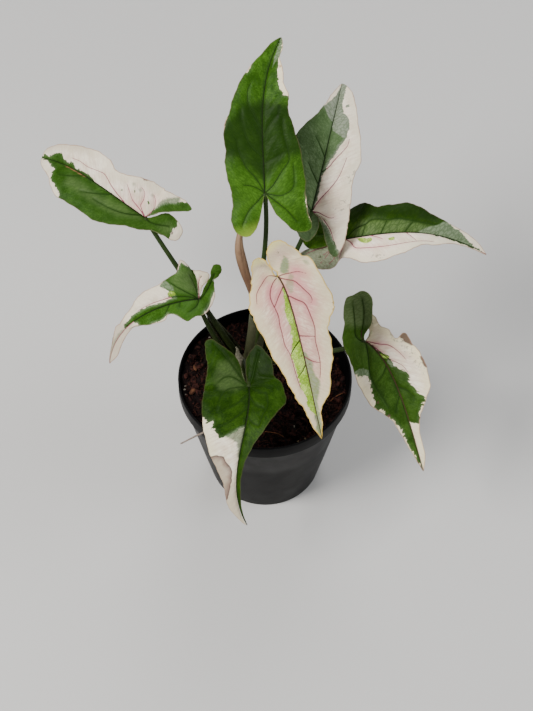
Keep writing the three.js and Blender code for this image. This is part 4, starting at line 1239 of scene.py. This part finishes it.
    # Painted light: lighter lime green inside the light mark
    paintedLightMask = ramp(tree, fieldOf(tree, "paintedLight"), -4.0, 6.0, 0.0, 0.75)
    green = mixed(tree, paintedLightMask, green, look["paintedLight"])
    green = mixed(tree, maths(tree, "MAXIMUM", paleMask, fringe), green, pale)
    colour = mixed(tree, whiteMask, green, cream)
    veilMask = markMask(tree, "veil", softJag, -0.7, 0.7, 0.85)
    colour = mixed(tree, veilMask, colour, pale)
    lime = mixed(tree, ramp(tree, mottle, 0.4, 0.6), *look["lime"])
    lime = mixed(tree, maths(tree, "MULTIPLY", netLine, 0.5), lime, deep)
    colour = mixed(tree, limeMask, colour, lime)
    bruiseField = maths(tree, "ADD", fieldOf(tree, "bruise"), maths(tree, "MULTIPLY", jag, 0.25))
    bruise = ramp(tree, maths(tree, "ADD", bruiseField, patch), 0.0, 3.5, 0.9, 0.55)
    bruise = maths(tree, "MULTIPLY", bruise, ramp(tree, bruiseField, -0.3, 0.3))
    colour = mixed(tree, bruise, colour, look["bruise"])
    outline = ramp(tree, maths(tree, "ABSOLUTE", bruiseField), 0.1, 0.4, 0.85, 0.0)
    colour = mixed(tree, outline, colour, look["bruiseLine"])
    rustMask = markMask(tree, "rust", softJag, -0.4, 0.5, 0.7)
    colour = mixed(tree, rustMask, colour, look["rust"])
    brownMask = markMask(tree, "brown", softJag, -0.3, 0.4, 0.9)
    colour = mixed(tree, brownMask, colour, look["brown"])
    ochre = markMask(tree, "ochre", patch, -2.5, 3.0, 0.75)
    colour = mixed(tree, ochre, colour, look["ochre"])
    edgeGap = maths(tree, "MULTIPLY_ADD", patch, 0.5, maths(tree, "SUBTRACT", edge, 0.25))
    edgeMask = ramp(tree, edgeGap, 0.1, look["edgeWidth"], look["edgeShare"], 0.0)
    if not look["allWhite"]:
        edgeMask = maths(tree, "MULTIPLY", edgeMask, ramp(tree, fieldOf(tree, "white"), -1.0, 0.5, 0.22, 1.0))
    colour = mixed(tree, edgeMask, colour, look["edgeColour"])
    if part == "under":
        colour = mixed(tree, 0.45, colour, look["under"])
    if part == "vein":
        out = tree.nodes.new("ShaderNodeSeparateXYZ")
        tree.links.new(vectorField(tree, "flat"), out.inputs["Vector"])
        isRib = ramp(tree, maths(tree, "ABSOLUTE", out.outputs["Y"]), 0.0003, 0.0004, 1.0, 0.0)
        veinColour = look["veinColour"]
        pink = mixed(tree, isRib, veinColour, leaf.get("ribColour", veinColour))
        inWhite = maths(tree, "SUBTRACT", whiteMask, limeMask)
        darkVein = mixed(tree, isRib, look["greenVein"], leaf.get("ribColour", look["darkVein"]))
        onWhite = mixed(tree, inWhite, darkVein, pink)
        fade = ramp(tree, base, 20.0, 70.0, 0.95, 0.82)
        colour = mixed(tree, fade, colour, onWhite)
    tree.links.new(colour, shader.inputs["Base Color"])
    domes = ramp(tree, gap, 0.0, 0.42)
    height = maths(tree, "MULTIPLY_ADD", domes, 0.8, maths(tree, "MULTIPLY", grain, 0.5))
    tree.links.new(bumpOf(tree, height, 0.0002, 0.45), shader.inputs["Normal"])
    return material


def makeLeaves():
    for name, leaf in leaves.items():
        bm = makeBlade(name, leaf)
        materials = [bladeMaterial(f"{name}_{part}", leaf, part) for part in ("face", "under", "vein")]
        piece = finishPiece(bm, f"{name}_lamina", materials, [f"{name}_blade"])
        print(piece.name, len(piece.data.polygons), "faces")


# Stems. A fine line is taken again at even steps along its length.
def evenly(fine, steps):
    gaps = np.linalg.norm(np.diff(fine, axis=0), axis=1)
    measure = np.concatenate([[0], np.cumsum(gaps)])
    wanted = np.linspace(0, measure[-1], steps + 1)
    return np.stack([np.interp(wanted, measure, fine[:, axis]) for axis in range(3)], axis=1)


def smoothRoute(points, steps):
    return evenly(lineThrough(points, np.linspace(0, 1, 400)), steps)


# Directions across a route: one that keeps to a given way, and the one at right angles to it
def crossWays(route, hint):
    way = unit(np.gradient(route, axis=0))
    hint = np.broadcast_to(np.asarray(hint, float), route.shape)
    first = unit(hint - way * alongOf(hint, way))
    return first, np.cross(way, first)


# A closed rod along a route. Its section is given as offsets (across, out) in shares of the radius
def addRod(bm, route, radii, section, hint=(1, 0, 0), flatness=1.0):
    first, second = crossWays(route, hint)
    rows, sides = len(route), len(section)
    made = bmesh.ops.create_grid(bm, x_segments=sides, y_segments=rows + 1, size=1)["verts"]
    for i, vert in enumerate(made):
        row, column = divmod(i, sides + 1)
        inner = min(max(row - 1, 0), rows - 1)
        a, b = section[column % sides]
        radius = 0 if row in (0, rows + 1) else radii[inner]
        place = route[inner] + (first[inner] * a + second[inner] * b * flatness) * radius
        vert.co = place * mm
    faces = list({face for vert in made for face in vert.link_faces})
    bmesh.ops.remove_doubles(bm, verts=made, dist=1e-7)
    return [face for face in faces if face.is_valid]


def roundSection(sides):
    return [(math.cos(2 * math.pi * i / sides), math.sin(2 * math.pi * i / sides)) for i in range(sides)]


clump = {"x": -9, "y": 12, "ring": 8, "rootDepth": 60, "ground": 76}
stalkForm = {"steps": 90, "sides": 20, "tipRadius": 1.1, "taper": 0.6, "swell": 0.18, "underBlade": 0.7}


def stalkRoute(leaf):
    form = leaf["petiole"]
    turn = math.radians(form["turn"])
    x = clump["x"] + clump["ring"] * math.cos(turn)
    y = clump["y"] + clump["ring"] * math.sin(turn)
    centre, forward = leaf["curve"].frameAt(np.array([0.0]))
    face = unit(leaf["face"][0])
    face = unit(face - forward[0] * (face @ forward[0]))
    end = centre[0] - face * stalkForm["underBlade"]
    rise = Bend([(x, y, clump["ground"]), form["rise"], form["reach"], end])
    t = np.linspace(0, 1, 200)
    ground = np.linspace((x, y, clump["rootDepth"]), (x, y, clump["ground"]), 20)[:-1]
    return evenly(np.concatenate([ground, rise.at(t)]), stalkForm["steps"])


# How far up each stalk its sheath reaches, as a share of its length, how far its wings stand out and how far
# round the stalk it goes, in degrees to each side
sheaths = {
    "leaf_1": (0.3, 0.8, 145),
    "leaf_2": (0.34, 1.0, 145),
    "leaf_3": (0.3, 0.9, 145),
    "leaf_4": (0.5, 2.0, 96),
    "leaf_5": (0.34, 1.0, 145),
    "leaf_6": (0.42, 1.8, 115),
    "leaf_7": (0.36, 1.6, 110),
    "leaf_8": (0.3, 0.7, 140),
}


# A sheath: a thin shell round the lower stalk, open towards the clump and narrowing to a point
def addSheath(bm, route, radii, share, wing, reach, opening=None, first=0.13, narrowing=0.45):
    rows = int(share * (len(route) - 1)) + 1
    start = int(first * (len(route) - 1))
    part = route[start:rows]
    inward = opening if opening else np.array([clump["x"], clump["y"], 0]) - part * (1, 1, 0)
    openWay, aside = crossWays(part, unit(np.asarray(inward) + (0, 0, 0.001)))
    count = 16
    made = bmesh.ops.create_grid(bm, x_segments=2 * count, y_segments=len(part) + 1, size=1)["verts"]
    for i, vert in enumerate(made):
        row, column = divmod(i, 2 * count + 1)
        inner = min(max(row - 1, 0), len(part) - 1)
        along = inner / (len(part) - 1)
        column %= 2 * count
        outerSide = column < count
        across = column / count if outerSide else (2 * count - column) / count
        span = math.radians(reach * (1 - along) ** narrowing + 5)
        angle = math.pi + span * (2 * across - 1)
        flare = wing * abs(2 * across - 1) ** 3 * (1 - along) ** 0.3
        radius = radii[start + inner] + 0.08 + flare + (0.28 if outerSide else 0)
        if row in (0, len(part) + 1):
            radius, angle = radii[start + inner] + 0.1, math.pi
        place = part[inner] + (openWay[inner] * math.cos(angle) + aside[inner] * math.sin(angle)) * radius
        vert.co = place * mm
    faces = list({face for vert in made for face in vert.link_faces})
    bmesh.ops.remove_doubles(bm, verts=made, dist=1e-7)
    for face in faces:
        if face.is_valid:
            face.material_index = 1


def stalkMaterial(name, low, high, tint):
    material, tree, shader = newMaterial(name, roughness=0.5, specular=0.12)
    place = objectPlace(tree)
    split = tree.nodes.new("ShaderNodeSeparateXYZ")
    tree.links.new(place, split.inputs["Vector"])
    # Colour runs from the low colour to the high one between 75 and 150 mm up
    height = ramp(tree, split.outputs["Z"], 0.075, 0.15)
    colour = mixed(tree, height, low, high)
    streak = noiseOf(tree, place, 0.0018, detail=3)
    colour = mixed(tree, ramp(tree, streak, 0.45, 0.75, 0.0, 0.6), colour, tint)
    tree.links.new(colour, shader.inputs["Base Color"])
    tree.links.new(bumpOf(tree, noiseOf(tree, place, 0.0007, detail=2), 0.0001, 0.5), shader.inputs["Normal"])
    return material


def makeStalks():
    # Painted shade: the stalk colours are darkened for the shade under the leaves, most of all low down
    stalk = stalkMaterial("stalkSkin", (0.017, 0.024, 0.006), (0.016, 0.034, 0.006), (0.03, 0.045, 0.015))
    sheath = stalkMaterial("sheathSkin", (0.028, 0.03, 0.012), (0.045, 0.05, 0.025), (0.075, 0.08, 0.05))
    for name, leaf in leaves.items():
        route = stalkRoute(leaf)
        along = np.linspace(0, 1, len(route))
        radii = leaf["petiole"]["radius"] * (1 - along ** stalkForm["taper"])
        radii += stalkForm["tipRadius"] * along ** stalkForm["taper"]
        radii *= 1 + stalkForm["swell"] * np.exp(-((1 - along) / 0.03) ** 2)
        bm = bmesh.new()
        addRod(bm, route, radii, roundSection(stalkForm["sides"]))
        addSheath(bm, route, radii, *sheaths[name])
        finishPiece(bm, f"{name}_stalk", [stalk, sheath], [f"{name}_petiole"])
    print("stalks and sheaths")


# The stem's crown: a short knob wrapped in sheath scales. The tallest holds the new leaf's stalk.
# Each scale: the line it follows, its radius below and above, its reach to each side in degrees, the way it
# opens and how fast it narrows upwards
crownScales = [
    ([(-8, 11.8, 70), (-7.2, 11.8, 84), (-5.8, 12.2, 98), (-4.6, 13.4, 115)], (3.3, 2.9), 120,
     (0.6, 0.8, 0), 0.12),
    ([(-10.2, 11, 68), (-11, 10.4, 76), (-12.2, 9.6, 84)], (3.6, 2.4), 85, (0.8, 0.6, 0), 0.45),
    ([(-8, 13, 68), (-7, 14, 76), (-5.4, 15, 83)], (3.9, 2.8), 80, (-0.9, -0.4, 0), 0.45),
]


def makeCrown():
    bm = bmesh.new()
    profile = [(0, 60), (3.8, 60), (3.9, 68), (3.7, 72), (3.8, 75), (3.4, 78), (2.8, 80.5), (1.8, 82),
               (0, 82.4)]
    line = lineThrough([(*point, 0) for point in profile], np.linspace(0, 1, 40))
    addTurned(bm, [(max(r, 0), z) for r, z, _ in line], 40)
    for vert in bm.verts:
        angle = math.atan2(vert.co.y, vert.co.x)
        ring = 1 + 0.06 * math.sin(3 * angle + vert.co.z * 400) + 0.03 * math.sin(9 * angle)
        vert.co.x = vert.co.x * ring + clump["x"] * mm
        vert.co.y = vert.co.y * ring + clump["y"] * mm
    for line, (below, above), reach, opening, narrowing in crownScales:
        route = smoothRoute(line, 40)
        addSheath(bm, route, np.linspace(below, above, len(route)), 1.0, 0.5, reach, opening, 0.0, narrowing)
    skin = stalkMaterial("crownSkin", (0.022, 0.02, 0.01), (0.04, 0.045, 0.02), (0.012, 0.008, 0.005))
    scale = stalkMaterial("scaleSkin", (0.03, 0.033, 0.014), (0.055, 0.06, 0.035), (0.07, 0.065, 0.04))
    finishPiece(bm, "crown", [skin, scale], ["stem"])
    print("crown")


# The new leaf: a thin stalk, then the blade rolled up to a spear
spear = {
    "route": [(-9, 12, 86), (-5.5, 13.5, 108), (-5.5, 14, 127), (-10, 20, 143), (-12.5, 26, 154),
              (-11.5, 33, 163)],
    "radii": [1.3, 1.2, 1.3, 2.2, 2.9, 1.2],
    "flatness": 0.8,
    "steps": 110,
    "sides": 40,
    "step": 0.24,
    "twist": 1.6,
    "seam": -2.5,
    "furlFrom": 0.42,  # share of the length at which the rolled blade starts
    "furlOver": 0.14,
    "tanFrom": (0.112, 0.134),
    "paleFrom": (0.138, 0.158),
    "colours": [(0.017, 0.026, 0.006), (0.11, 0.06, 0.034), (0.205, 0.13, 0.078)],
}


def makeNewLeaf():
    bm = bmesh.new()
    route = smoothRoute(spear["route"], spear["steps"])
    along = np.linspace(0, 1, len(route))
    radii = lineThrough([(r, 0) for r in spear["radii"]], along)[:, 0]
    radii *= np.clip((1 - along) / 0.05, 0.02, 1) ** 0.6
    first, second = crossWays(route, (1, 0, 0))
    sides = spear["sides"]
    rows = len(route)
    made = bmesh.ops.create_grid(bm, x_segments=sides, y_segments=rows + 1, size=1)["verts"]
    for i, vert in enumerate(made):
        row, column = divmod(i, sides + 1)
        inner = min(max(row - 1, 0), rows - 1)
        around = (column % sides) / sides
        furl = np.clip((along[inner] - spear["furlFrom"]) / spear["furlOver"], 0, 1)
        step = spear["step"] * furl
        angle = 2 * math.pi * around + spear["twist"] * along[inner] + spear["seam"]
        swell = 1 - step + step * min(around / 0.94, (1 - around) / 0.06)
        radius = 0 if row in (0, rows + 1) else radii[inner] * swell
        place = first[inner] * math.cos(angle) + second[inner] * math.sin(angle) * spear["flatness"]
        vert.co = (route[inner] + place * radius) * mm
    bmesh.ops.remove_doubles(bm, verts=made, dist=1e-7)
    material, tree, shader = newMaterial("newLeafSkin", roughness=0.45, specular=0.2)
    place = objectPlace(tree)
    split = tree.nodes.new("ShaderNodeSeparateXYZ")
    tree.links.new(place, split.inputs["Vector"])
    green, tan, pale = spear["colours"]
    colour = mixed(tree, ramp(tree, split.outputs["Z"], *spear["tanFrom"]), green, tan)
    colour = mixed(tree, ramp(tree, split.outputs["Z"], *spear["paleFrom"]), colour, pale)
    streak = noiseOf(tree, place, 0.003, detail=3)
    colour = mixed(tree, ramp(tree, streak, 0.45, 0.7, 0.0, 0.5), colour, (0.10, 0.05, 0.03))
    tree.links.new(colour, shader.inputs["Base Color"])
    tree.links.new(bumpOf(tree, streak, 0.0001, 0.4), shader.inputs["Normal"])
    finishPiece(bm, "spear", [material], ["new_leaf"])
    print("new leaf")


# Dry pieces: the papery tip of an old sheath, and a root that pokes out of the mix
dryPieces = {
    "papery_sheath": {
        "route": [(-14.5, 5, 62), (-13.5, 5, 76), (-12.6, 5.6, 86), (-15, 6.2, 97)],
        "radii": [1.5, 2.6, 2.5, 0.4],
        "flatness": 0.22,
        "crease": 0.5,
        "colours": [(0.07, 0.065, 0.04), (0.22, 0.21, 0.155)],
        "replaces": "dry_sheath",
    },
    "root_end": {
        "route": [(-20, -20, 64), (-23, -27, 74), (-31, -36, 81.8), (-42.4, -43.2, 82.4)],
        "radii": [0.5, 0.5, 0.5, 0.36],
        "flatness": 1.0,
        "crease": 0.12,
        "colours": [(0.15, 0.115, 0.095), (0.27, 0.215, 0.18)],
        "replaces": "dry_root",
    },
}


def makeDryPieces():
    for name, form in dryPieces.items():
        bm = bmesh.new()
        route = smoothRoute(form["route"], 60)
        along = np.linspace(0, 1, len(route))
        wiggle = form["crease"] * np.sin(2 * np.pi * 3.3 * along + 0.7) * along
        route[:, 2] += wiggle * 0.5
        route[:, 0] += wiggle * 0.7
        radii = lineThrough([(r, 0) for r in form["radii"]], along)[:, 0]
        addRod(bm, route, radii, roundSection(14), flatness=form["flatness"])
        for vert in bm.verts:
            crinkle = math.sin(vert.co.z * 1900 + vert.co.x * 2600) * 0.06 * form["crease"]
            vert.co.y += crinkle * mm
        material, tree, shader = newMaterial(name + "Skin", roughness=0.8, specular=0.3)
        streak = noiseOf(tree, objectPlace(tree), 0.0012, detail=4)
        colour = mixed(tree, ramp(tree, streak, 0.3, 0.7), *form["colours"])
        tree.links.new(colour, shader.inputs["Base Color"])
        tree.links.new(bumpOf(tree, streak, 0.0002, 0.7), shader.inputs["Normal"])
        finishPiece(bm, name, [material], [form["replaces"]])
    print("dry pieces")


# Pot
pot = {"height": 80, "baseRadius": 30, "rimRadius": 45, "wall": 1.2, "floor": 2, "bandHeight": 8,
       "bandStep": 1.4, "drains": 8, "drainRadius": 4, "drainRing": 21, "steps": 144,
       "colours": [(0.0018, 0.0018, 0.002), (0.006, 0.0055, 0.005)]}
bandBottom = pot["height"] - pot["bandHeight"]
bodyTop = pot["rimRadius"] - pot["bandStep"]


def outerRadiusAt(height):
    return pot["baseRadius"] + (bodyTop - pot["baseRadius"]) * height / bandBottom


def arcPoints(centre, radius, start, end, count=7):
    angles = [math.radians(start + (end - start) * i / count) for i in range(count + 1)]
    return [(centre[0] + radius * math.cos(a), centre[1] + radius * math.sin(a)) for a in angles]


def makePot():
    wall, lip = pot["wall"], pot["wall"] / 2
    floorRadius = outerRadiusAt(pot["floor"]) - wall
    profile = [
        *arcPoints((pot["baseRadius"] - 1, 1), 1, -90, -10),
        (outerRadiusAt(20), 20),
        (outerRadiusAt(45), 45),
        (bodyTop, bandBottom - 0.4),
        *arcPoints((pot["rimRadius"] - 0.4, bandBottom + 0.2), 0.4, -90, 0, 5),
        *arcPoints((pot["rimRadius"] - lip, pot["height"] - lip), lip, 0, 180, 12),
        (bodyTop - 0.2, bandBottom + 1),
        (bodyTop - wall, bandBottom - 1),
        (outerRadiusAt(40) - wall, 40),
        (floorRadius, pot["floor"]),
    ]
    bm = bmesh.new()
    addTurned(bm, profile, pot["steps"])
    rings = [edge for edge in bm.edges if edge.is_boundary]
    levels = {}
    for height in (0, pot["floor"]):
        level = [edge for edge in rings if abs(edge.verts[0].co.z - height * mm) < 1e-5]
        level.sort(key=lambda edge: math.atan2(*(edge.verts[0].co + edge.verts[1].co).xy))
        levels[height] = level
    holes = []
    for i in range(pot["drains"]):
        angle = (i + 0.5) * 2 * math.pi / pot["drains"]
        x, y = pot["drainRing"] * math.cos(angle), pot["drainRing"] * math.sin(angle)
        loops = []
        for height in levels:
            circle = bmesh.ops.create_circle(bm, segments=24, radius=pot["drainRadius"] * mm)["verts"]
            for vert in circle:
                vert.co += Vector((x, y, height)) * mm
            loop = list(dict.fromkeys(edge for vert in circle for edge in vert.link_edges))
            levels[height] += loop
            loops += loop
        holes.append(loops)
    for loops in holes:
        bmesh.ops.bridge_loops(bm, edges=loops)
    for height, edges in levels.items():
        bmesh.ops.triangle_fill(bm, use_beauty=True, edges=edges, normal=(0, 0, -1 if height == 0 else 1))
    material, tree, shader = newMaterial("blackPlastic", roughness=0.42, specular=0.06)
    place = objectPlace(tree)
    fine = noiseOf(tree, place, 0.0012, detail=3)
    dust = noiseOf(tree, place, 0.012, detail=4)
    colour = mixed(tree, ramp(tree, dust, 0.5, 0.75, 0.0, 0.3), *pot["colours"])
    tree.links.new(colour, shader.inputs["Base Color"])
    tree.links.new(ramp(tree, dust, 0.35, 0.7, 0.4, 0.46), shader.inputs["Roughness"])
    tree.links.new(bumpOf(tree, fine, 0.00008, 0.5), shader.inputs["Normal"])
    piece = finishPiece(bm, "nursery_pot", [material], ["pot"])
    for polygon in piece.data.polygons:
        polygon.use_smooth = abs(polygon.normal.z) < 0.999
    print("pot")


# Potting mix
mix = {"level": 70, "moundRise": 7.5, "lumpHeight": 0.9, "lumpLength": 9, "sectors": 240, "rings": 80,
       "grain": 0.7, "lipRoom": 1.0, "lipHeight": 73, "chips": 2600, "fibres": 420, "straws": 4,
       "perlite": 6, "seed": 7, "chipReach": 42, "threadReach": 40, "threadLimit": 41}

# Single bits that show in the photo: (x, y, half length, half width, half height, turn in degrees, look)
bits = [
    (-37.2, -6.5, 3.6, 1.7, 0.9, 64, 5),
    (-36.5, 8.0, 2.2, 1.2, 0.8, 110, 5),
    (-41.6, -6.2, 0.7, 0.6, 0.6, 0, 2),
    (-41.2, -3.9, 0.5, 0.4, 0.4, 0, 2),
    (-41.0, -9.4, 0.6, 0.4, 0.4, 30, 2),
    (17.0, -33.6, 0.9, 0.5, 0.4, 20, 4),
    (20.5, -32.8, 0.7, 0.4, 0.4, 70, 4),
    (33.0, 4.0, 2.0, 1.1, 0.7, 15, 5),
]
# Single threads: points on the mix, half width and look
threads = [
    ([(0, -28.7), (3.4, -29.2), (6.5, -30.6), (9.7, -31.7)], 0.22, 6),
    ([(33.7, -9.5), (35.8, -7.4), (38.4, -6.2), (40.5, -5.1)], 0.24, 6),
]


def groundHeight(x, y):
    edge = math.hypot(x, y) / pot["rimRadius"]
    mound = mix["moundRise"] * max(0, -x / pot["rimRadius"]) * edge
    turn = 2 * math.pi / mix["lumpLength"]
    lumps = math.sin(x * turn) * math.sin(y * turn + 1) + 0.6 * math.sin((x + y) * turn * 0.6)
    return mix["level"] + mound + mix["lumpHeight"] * lumps


# A copy of a small mesh, with its corners at the given places
def addCopy(bm, small, corners, index):
    small.verts.index_update()
    verts = [bm.verts.new(corner * mm) for corner in corners]
    for face in small.faces:
        bm.faces.new([verts[vert.index] for vert in face.verts]).material_index = index


def makeMix():
    random.seed(mix["seed"])
    inside = bodyTop - pot["wall"] - 0.3
    rings = mix["rings"]
    rows = [(inside * i / rings, None) for i in range(rings + 1)]
    rows += [(inside - 1, bandBottom - 6), (outerRadiusAt(2.2) - pot["wall"] - 0.2, pot["floor"] + 0.1),
             (0, pot["floor"] + 0.1)]
    bm = bmesh.new()
    sectors = mix["sectors"]
    made = bmesh.ops.create_grid(bm, x_segments=sectors, y_segments=len(rows) - 1, size=1)["verts"]
    for i, vert in enumerate(made):
        row, column = divmod(i, sectors + 1)
        radius, height = rows[row]
        angle = 2 * math.pi * (column % sectors) / sectors
        if height is None:
            rim = groundHeight(inside * math.cos(angle), inside * math.sin(angle))
            radius *= 1 + mix["lipRoom"] / inside * min(1, max(0, rim - mix["lipHeight"]))
        x, y = radius * math.cos(angle), radius * math.sin(angle)
        if height is None:
            rough = noise.fractal(Vector((x, y, 3)) * 0.55, 0.7, 2.1, 5)
            height = groundHeight(x, y) + mix["grain"] * rough * min(1, (inside - radius) / 2 + 0.15)
        vert.co = Vector((x, y, height)) * mm
    bmesh.ops.remove_doubles(bm, verts=bm.verts, dist=1e-6)
    lump = bmesh.new()
    bmesh.ops.create_icosphere(lump, subdivisions=1, radius=1)
    for kind, count in (("chip", mix["chips"]), ("perlite", mix["perlite"])):
        for _ in range(count):
            radius = mix["chipReach"] * math.sqrt(random.random())
            angle = random.uniform(0, 2 * math.pi)
            x, y = radius * math.cos(angle), radius * math.sin(angle)
            size = random.uniform(1.2, 2.6) if random.random() < 0.12 else random.uniform(0.45, 1.3)
            stretch = (size, size * random.uniform(0.5, 0.9), size * random.uniform(0.25, 0.6))
            turn = Euler((random.gauss(0, 0.5), random.gauss(0, 0.5), random.uniform(0, 6.28)))
            if kind == "perlite":
                stretch = [random.uniform(0.5, 0.9) for _ in range(3)]
            place = Vector((x, y, groundHeight(x, y) + 0.2 * size))
            corners = []
            for vert in lump.verts:
                local = Vector([c * s * random.uniform(0.75, 1.15) for c, s in zip(vert.co, stretch)])
                local.rotate(turn)
                corners.append(place + local)
            addCopy(bm, lump, corners, 2 if kind == "perlite" else 1)
    for x, y, length, width, depth, turn, look in bits:
        corners = []
        halves = (length, width, depth)
        for vert in lump.verts:
            local = Vector([c * s * random.uniform(0.8, 1.15) for c, s in zip(vert.co, halves)])
            local.rotate(Euler((0.1, 0.05, math.radians(turn))))
            corners.append(Vector((x, y, groundHeight(x, y) + 0.4 + 0.3 * depth)) + local)
        addCopy(bm, lump, corners, look)
    for points, width, look in threads:
        route = lineThrough([(x, y, groundHeight(x, y) + 1.2) for x, y in points], np.linspace(0, 1, 12))
        thread = bmesh.new()
        addRod(thread, route, [width] * len(route), roundSection(6), hint=(0, 0, 1))
        addCopy(bm, thread, [vert.co / mm for vert in thread.verts], look)
        thread.free()
    for kind, count in (("fibre", mix["fibres"]), ("straw", mix["straws"])):
        for _ in range(count):
            radius = mix["threadReach"] * math.sqrt(random.random())
            angle = random.uniform(0, 2 * math.pi)
            start = Vector((radius * math.cos(angle), radius * math.sin(angle), 0))
            heading = random.uniform(0, 2 * math.pi)
            length = random.uniform(3, 9) if kind == "fibre" else random.uniform(4, 11)
            points = []
            for _ in range(6):
                heading += random.gauss(0, 0.35)
                start += Vector((math.cos(heading), math.sin(heading), 0)) * length / 5
                if start.xy.length > mix["threadLimit"]:
                    start *= mix["threadLimit"] / start.xy.length
                height = groundHeight(start.x, start.y) + random.uniform(0.3, 1.1)
                points.append((start.x, start.y, height))
            route = lineThrough(points, np.linspace(0, 1, 12))
            width = random.uniform(0.09, 0.18) if kind == "fibre" else random.uniform(0.16, 0.3)
            thread = bmesh.new()
            addRod(thread, route, [width] * len(route), roundSection(5), hint=(0, 0, 1))
            addCopy(bm, thread, [vert.co / mm for vert in thread.verts], 3 if kind == "fibre" else 4)
            thread.free()
    looks = [("mixGround", (0.0015, 0.0006, 0.0006), (0.008, 0.0028, 0.0022), 0.0006),
             ("barkChips", (0.0022, 0.0008, 0.0008), (0.036, 0.0105, 0.0075), 0.0022),
             ("perliteBits", (0.12, 0.10, 0.08), (0.32, 0.29, 0.25), 0.001),
             ("coirFibre", (0.012, 0.004, 0.003), (0.055, 0.02, 0.011), 0.003),
             ("strawBits", (0.10, 0.07, 0.04), (0.30, 0.22, 0.13), 0.003),
             ("bigBark", (0.03, 0.011, 0.006), (0.095, 0.040, 0.020), 0.003),
             ("redFibre", (0.07, 0.025, 0.012), (0.20, 0.08, 0.035), 0.003)]
    materials = []
    for name, low, high, size in looks:
        material, tree, shader = newMaterial(name, roughness=0.85, specular=0.1)
        place = objectPlace(tree)
        grain = noiseOf(tree, place, size, detail=4)
        colour = mixed(tree, ramp(tree, grain, 0.35, 0.7), low, high)
        tree.links.new(colour, shader.inputs["Base Color"])
        fine = noiseOf(tree, place, 0.0005, detail=4)
        tree.links.new(bumpOf(tree, fine, 0.0004, 0.8), shader.inputs["Normal"])
        materials.append(material)
    piece = finishPiece(bm, "mix_surface", materials, ["potting_mix"])
    for polygon in piece.data.polygons:
        if polygon.material_index in (1, 2):
            polygon.use_smooth = False
    print("potting mix")


makeStudio()
makeLeaves()
makeStalks()
makeCrown()
makeNewLeaf()
makeDryPieces()
makePot()
makeMix()
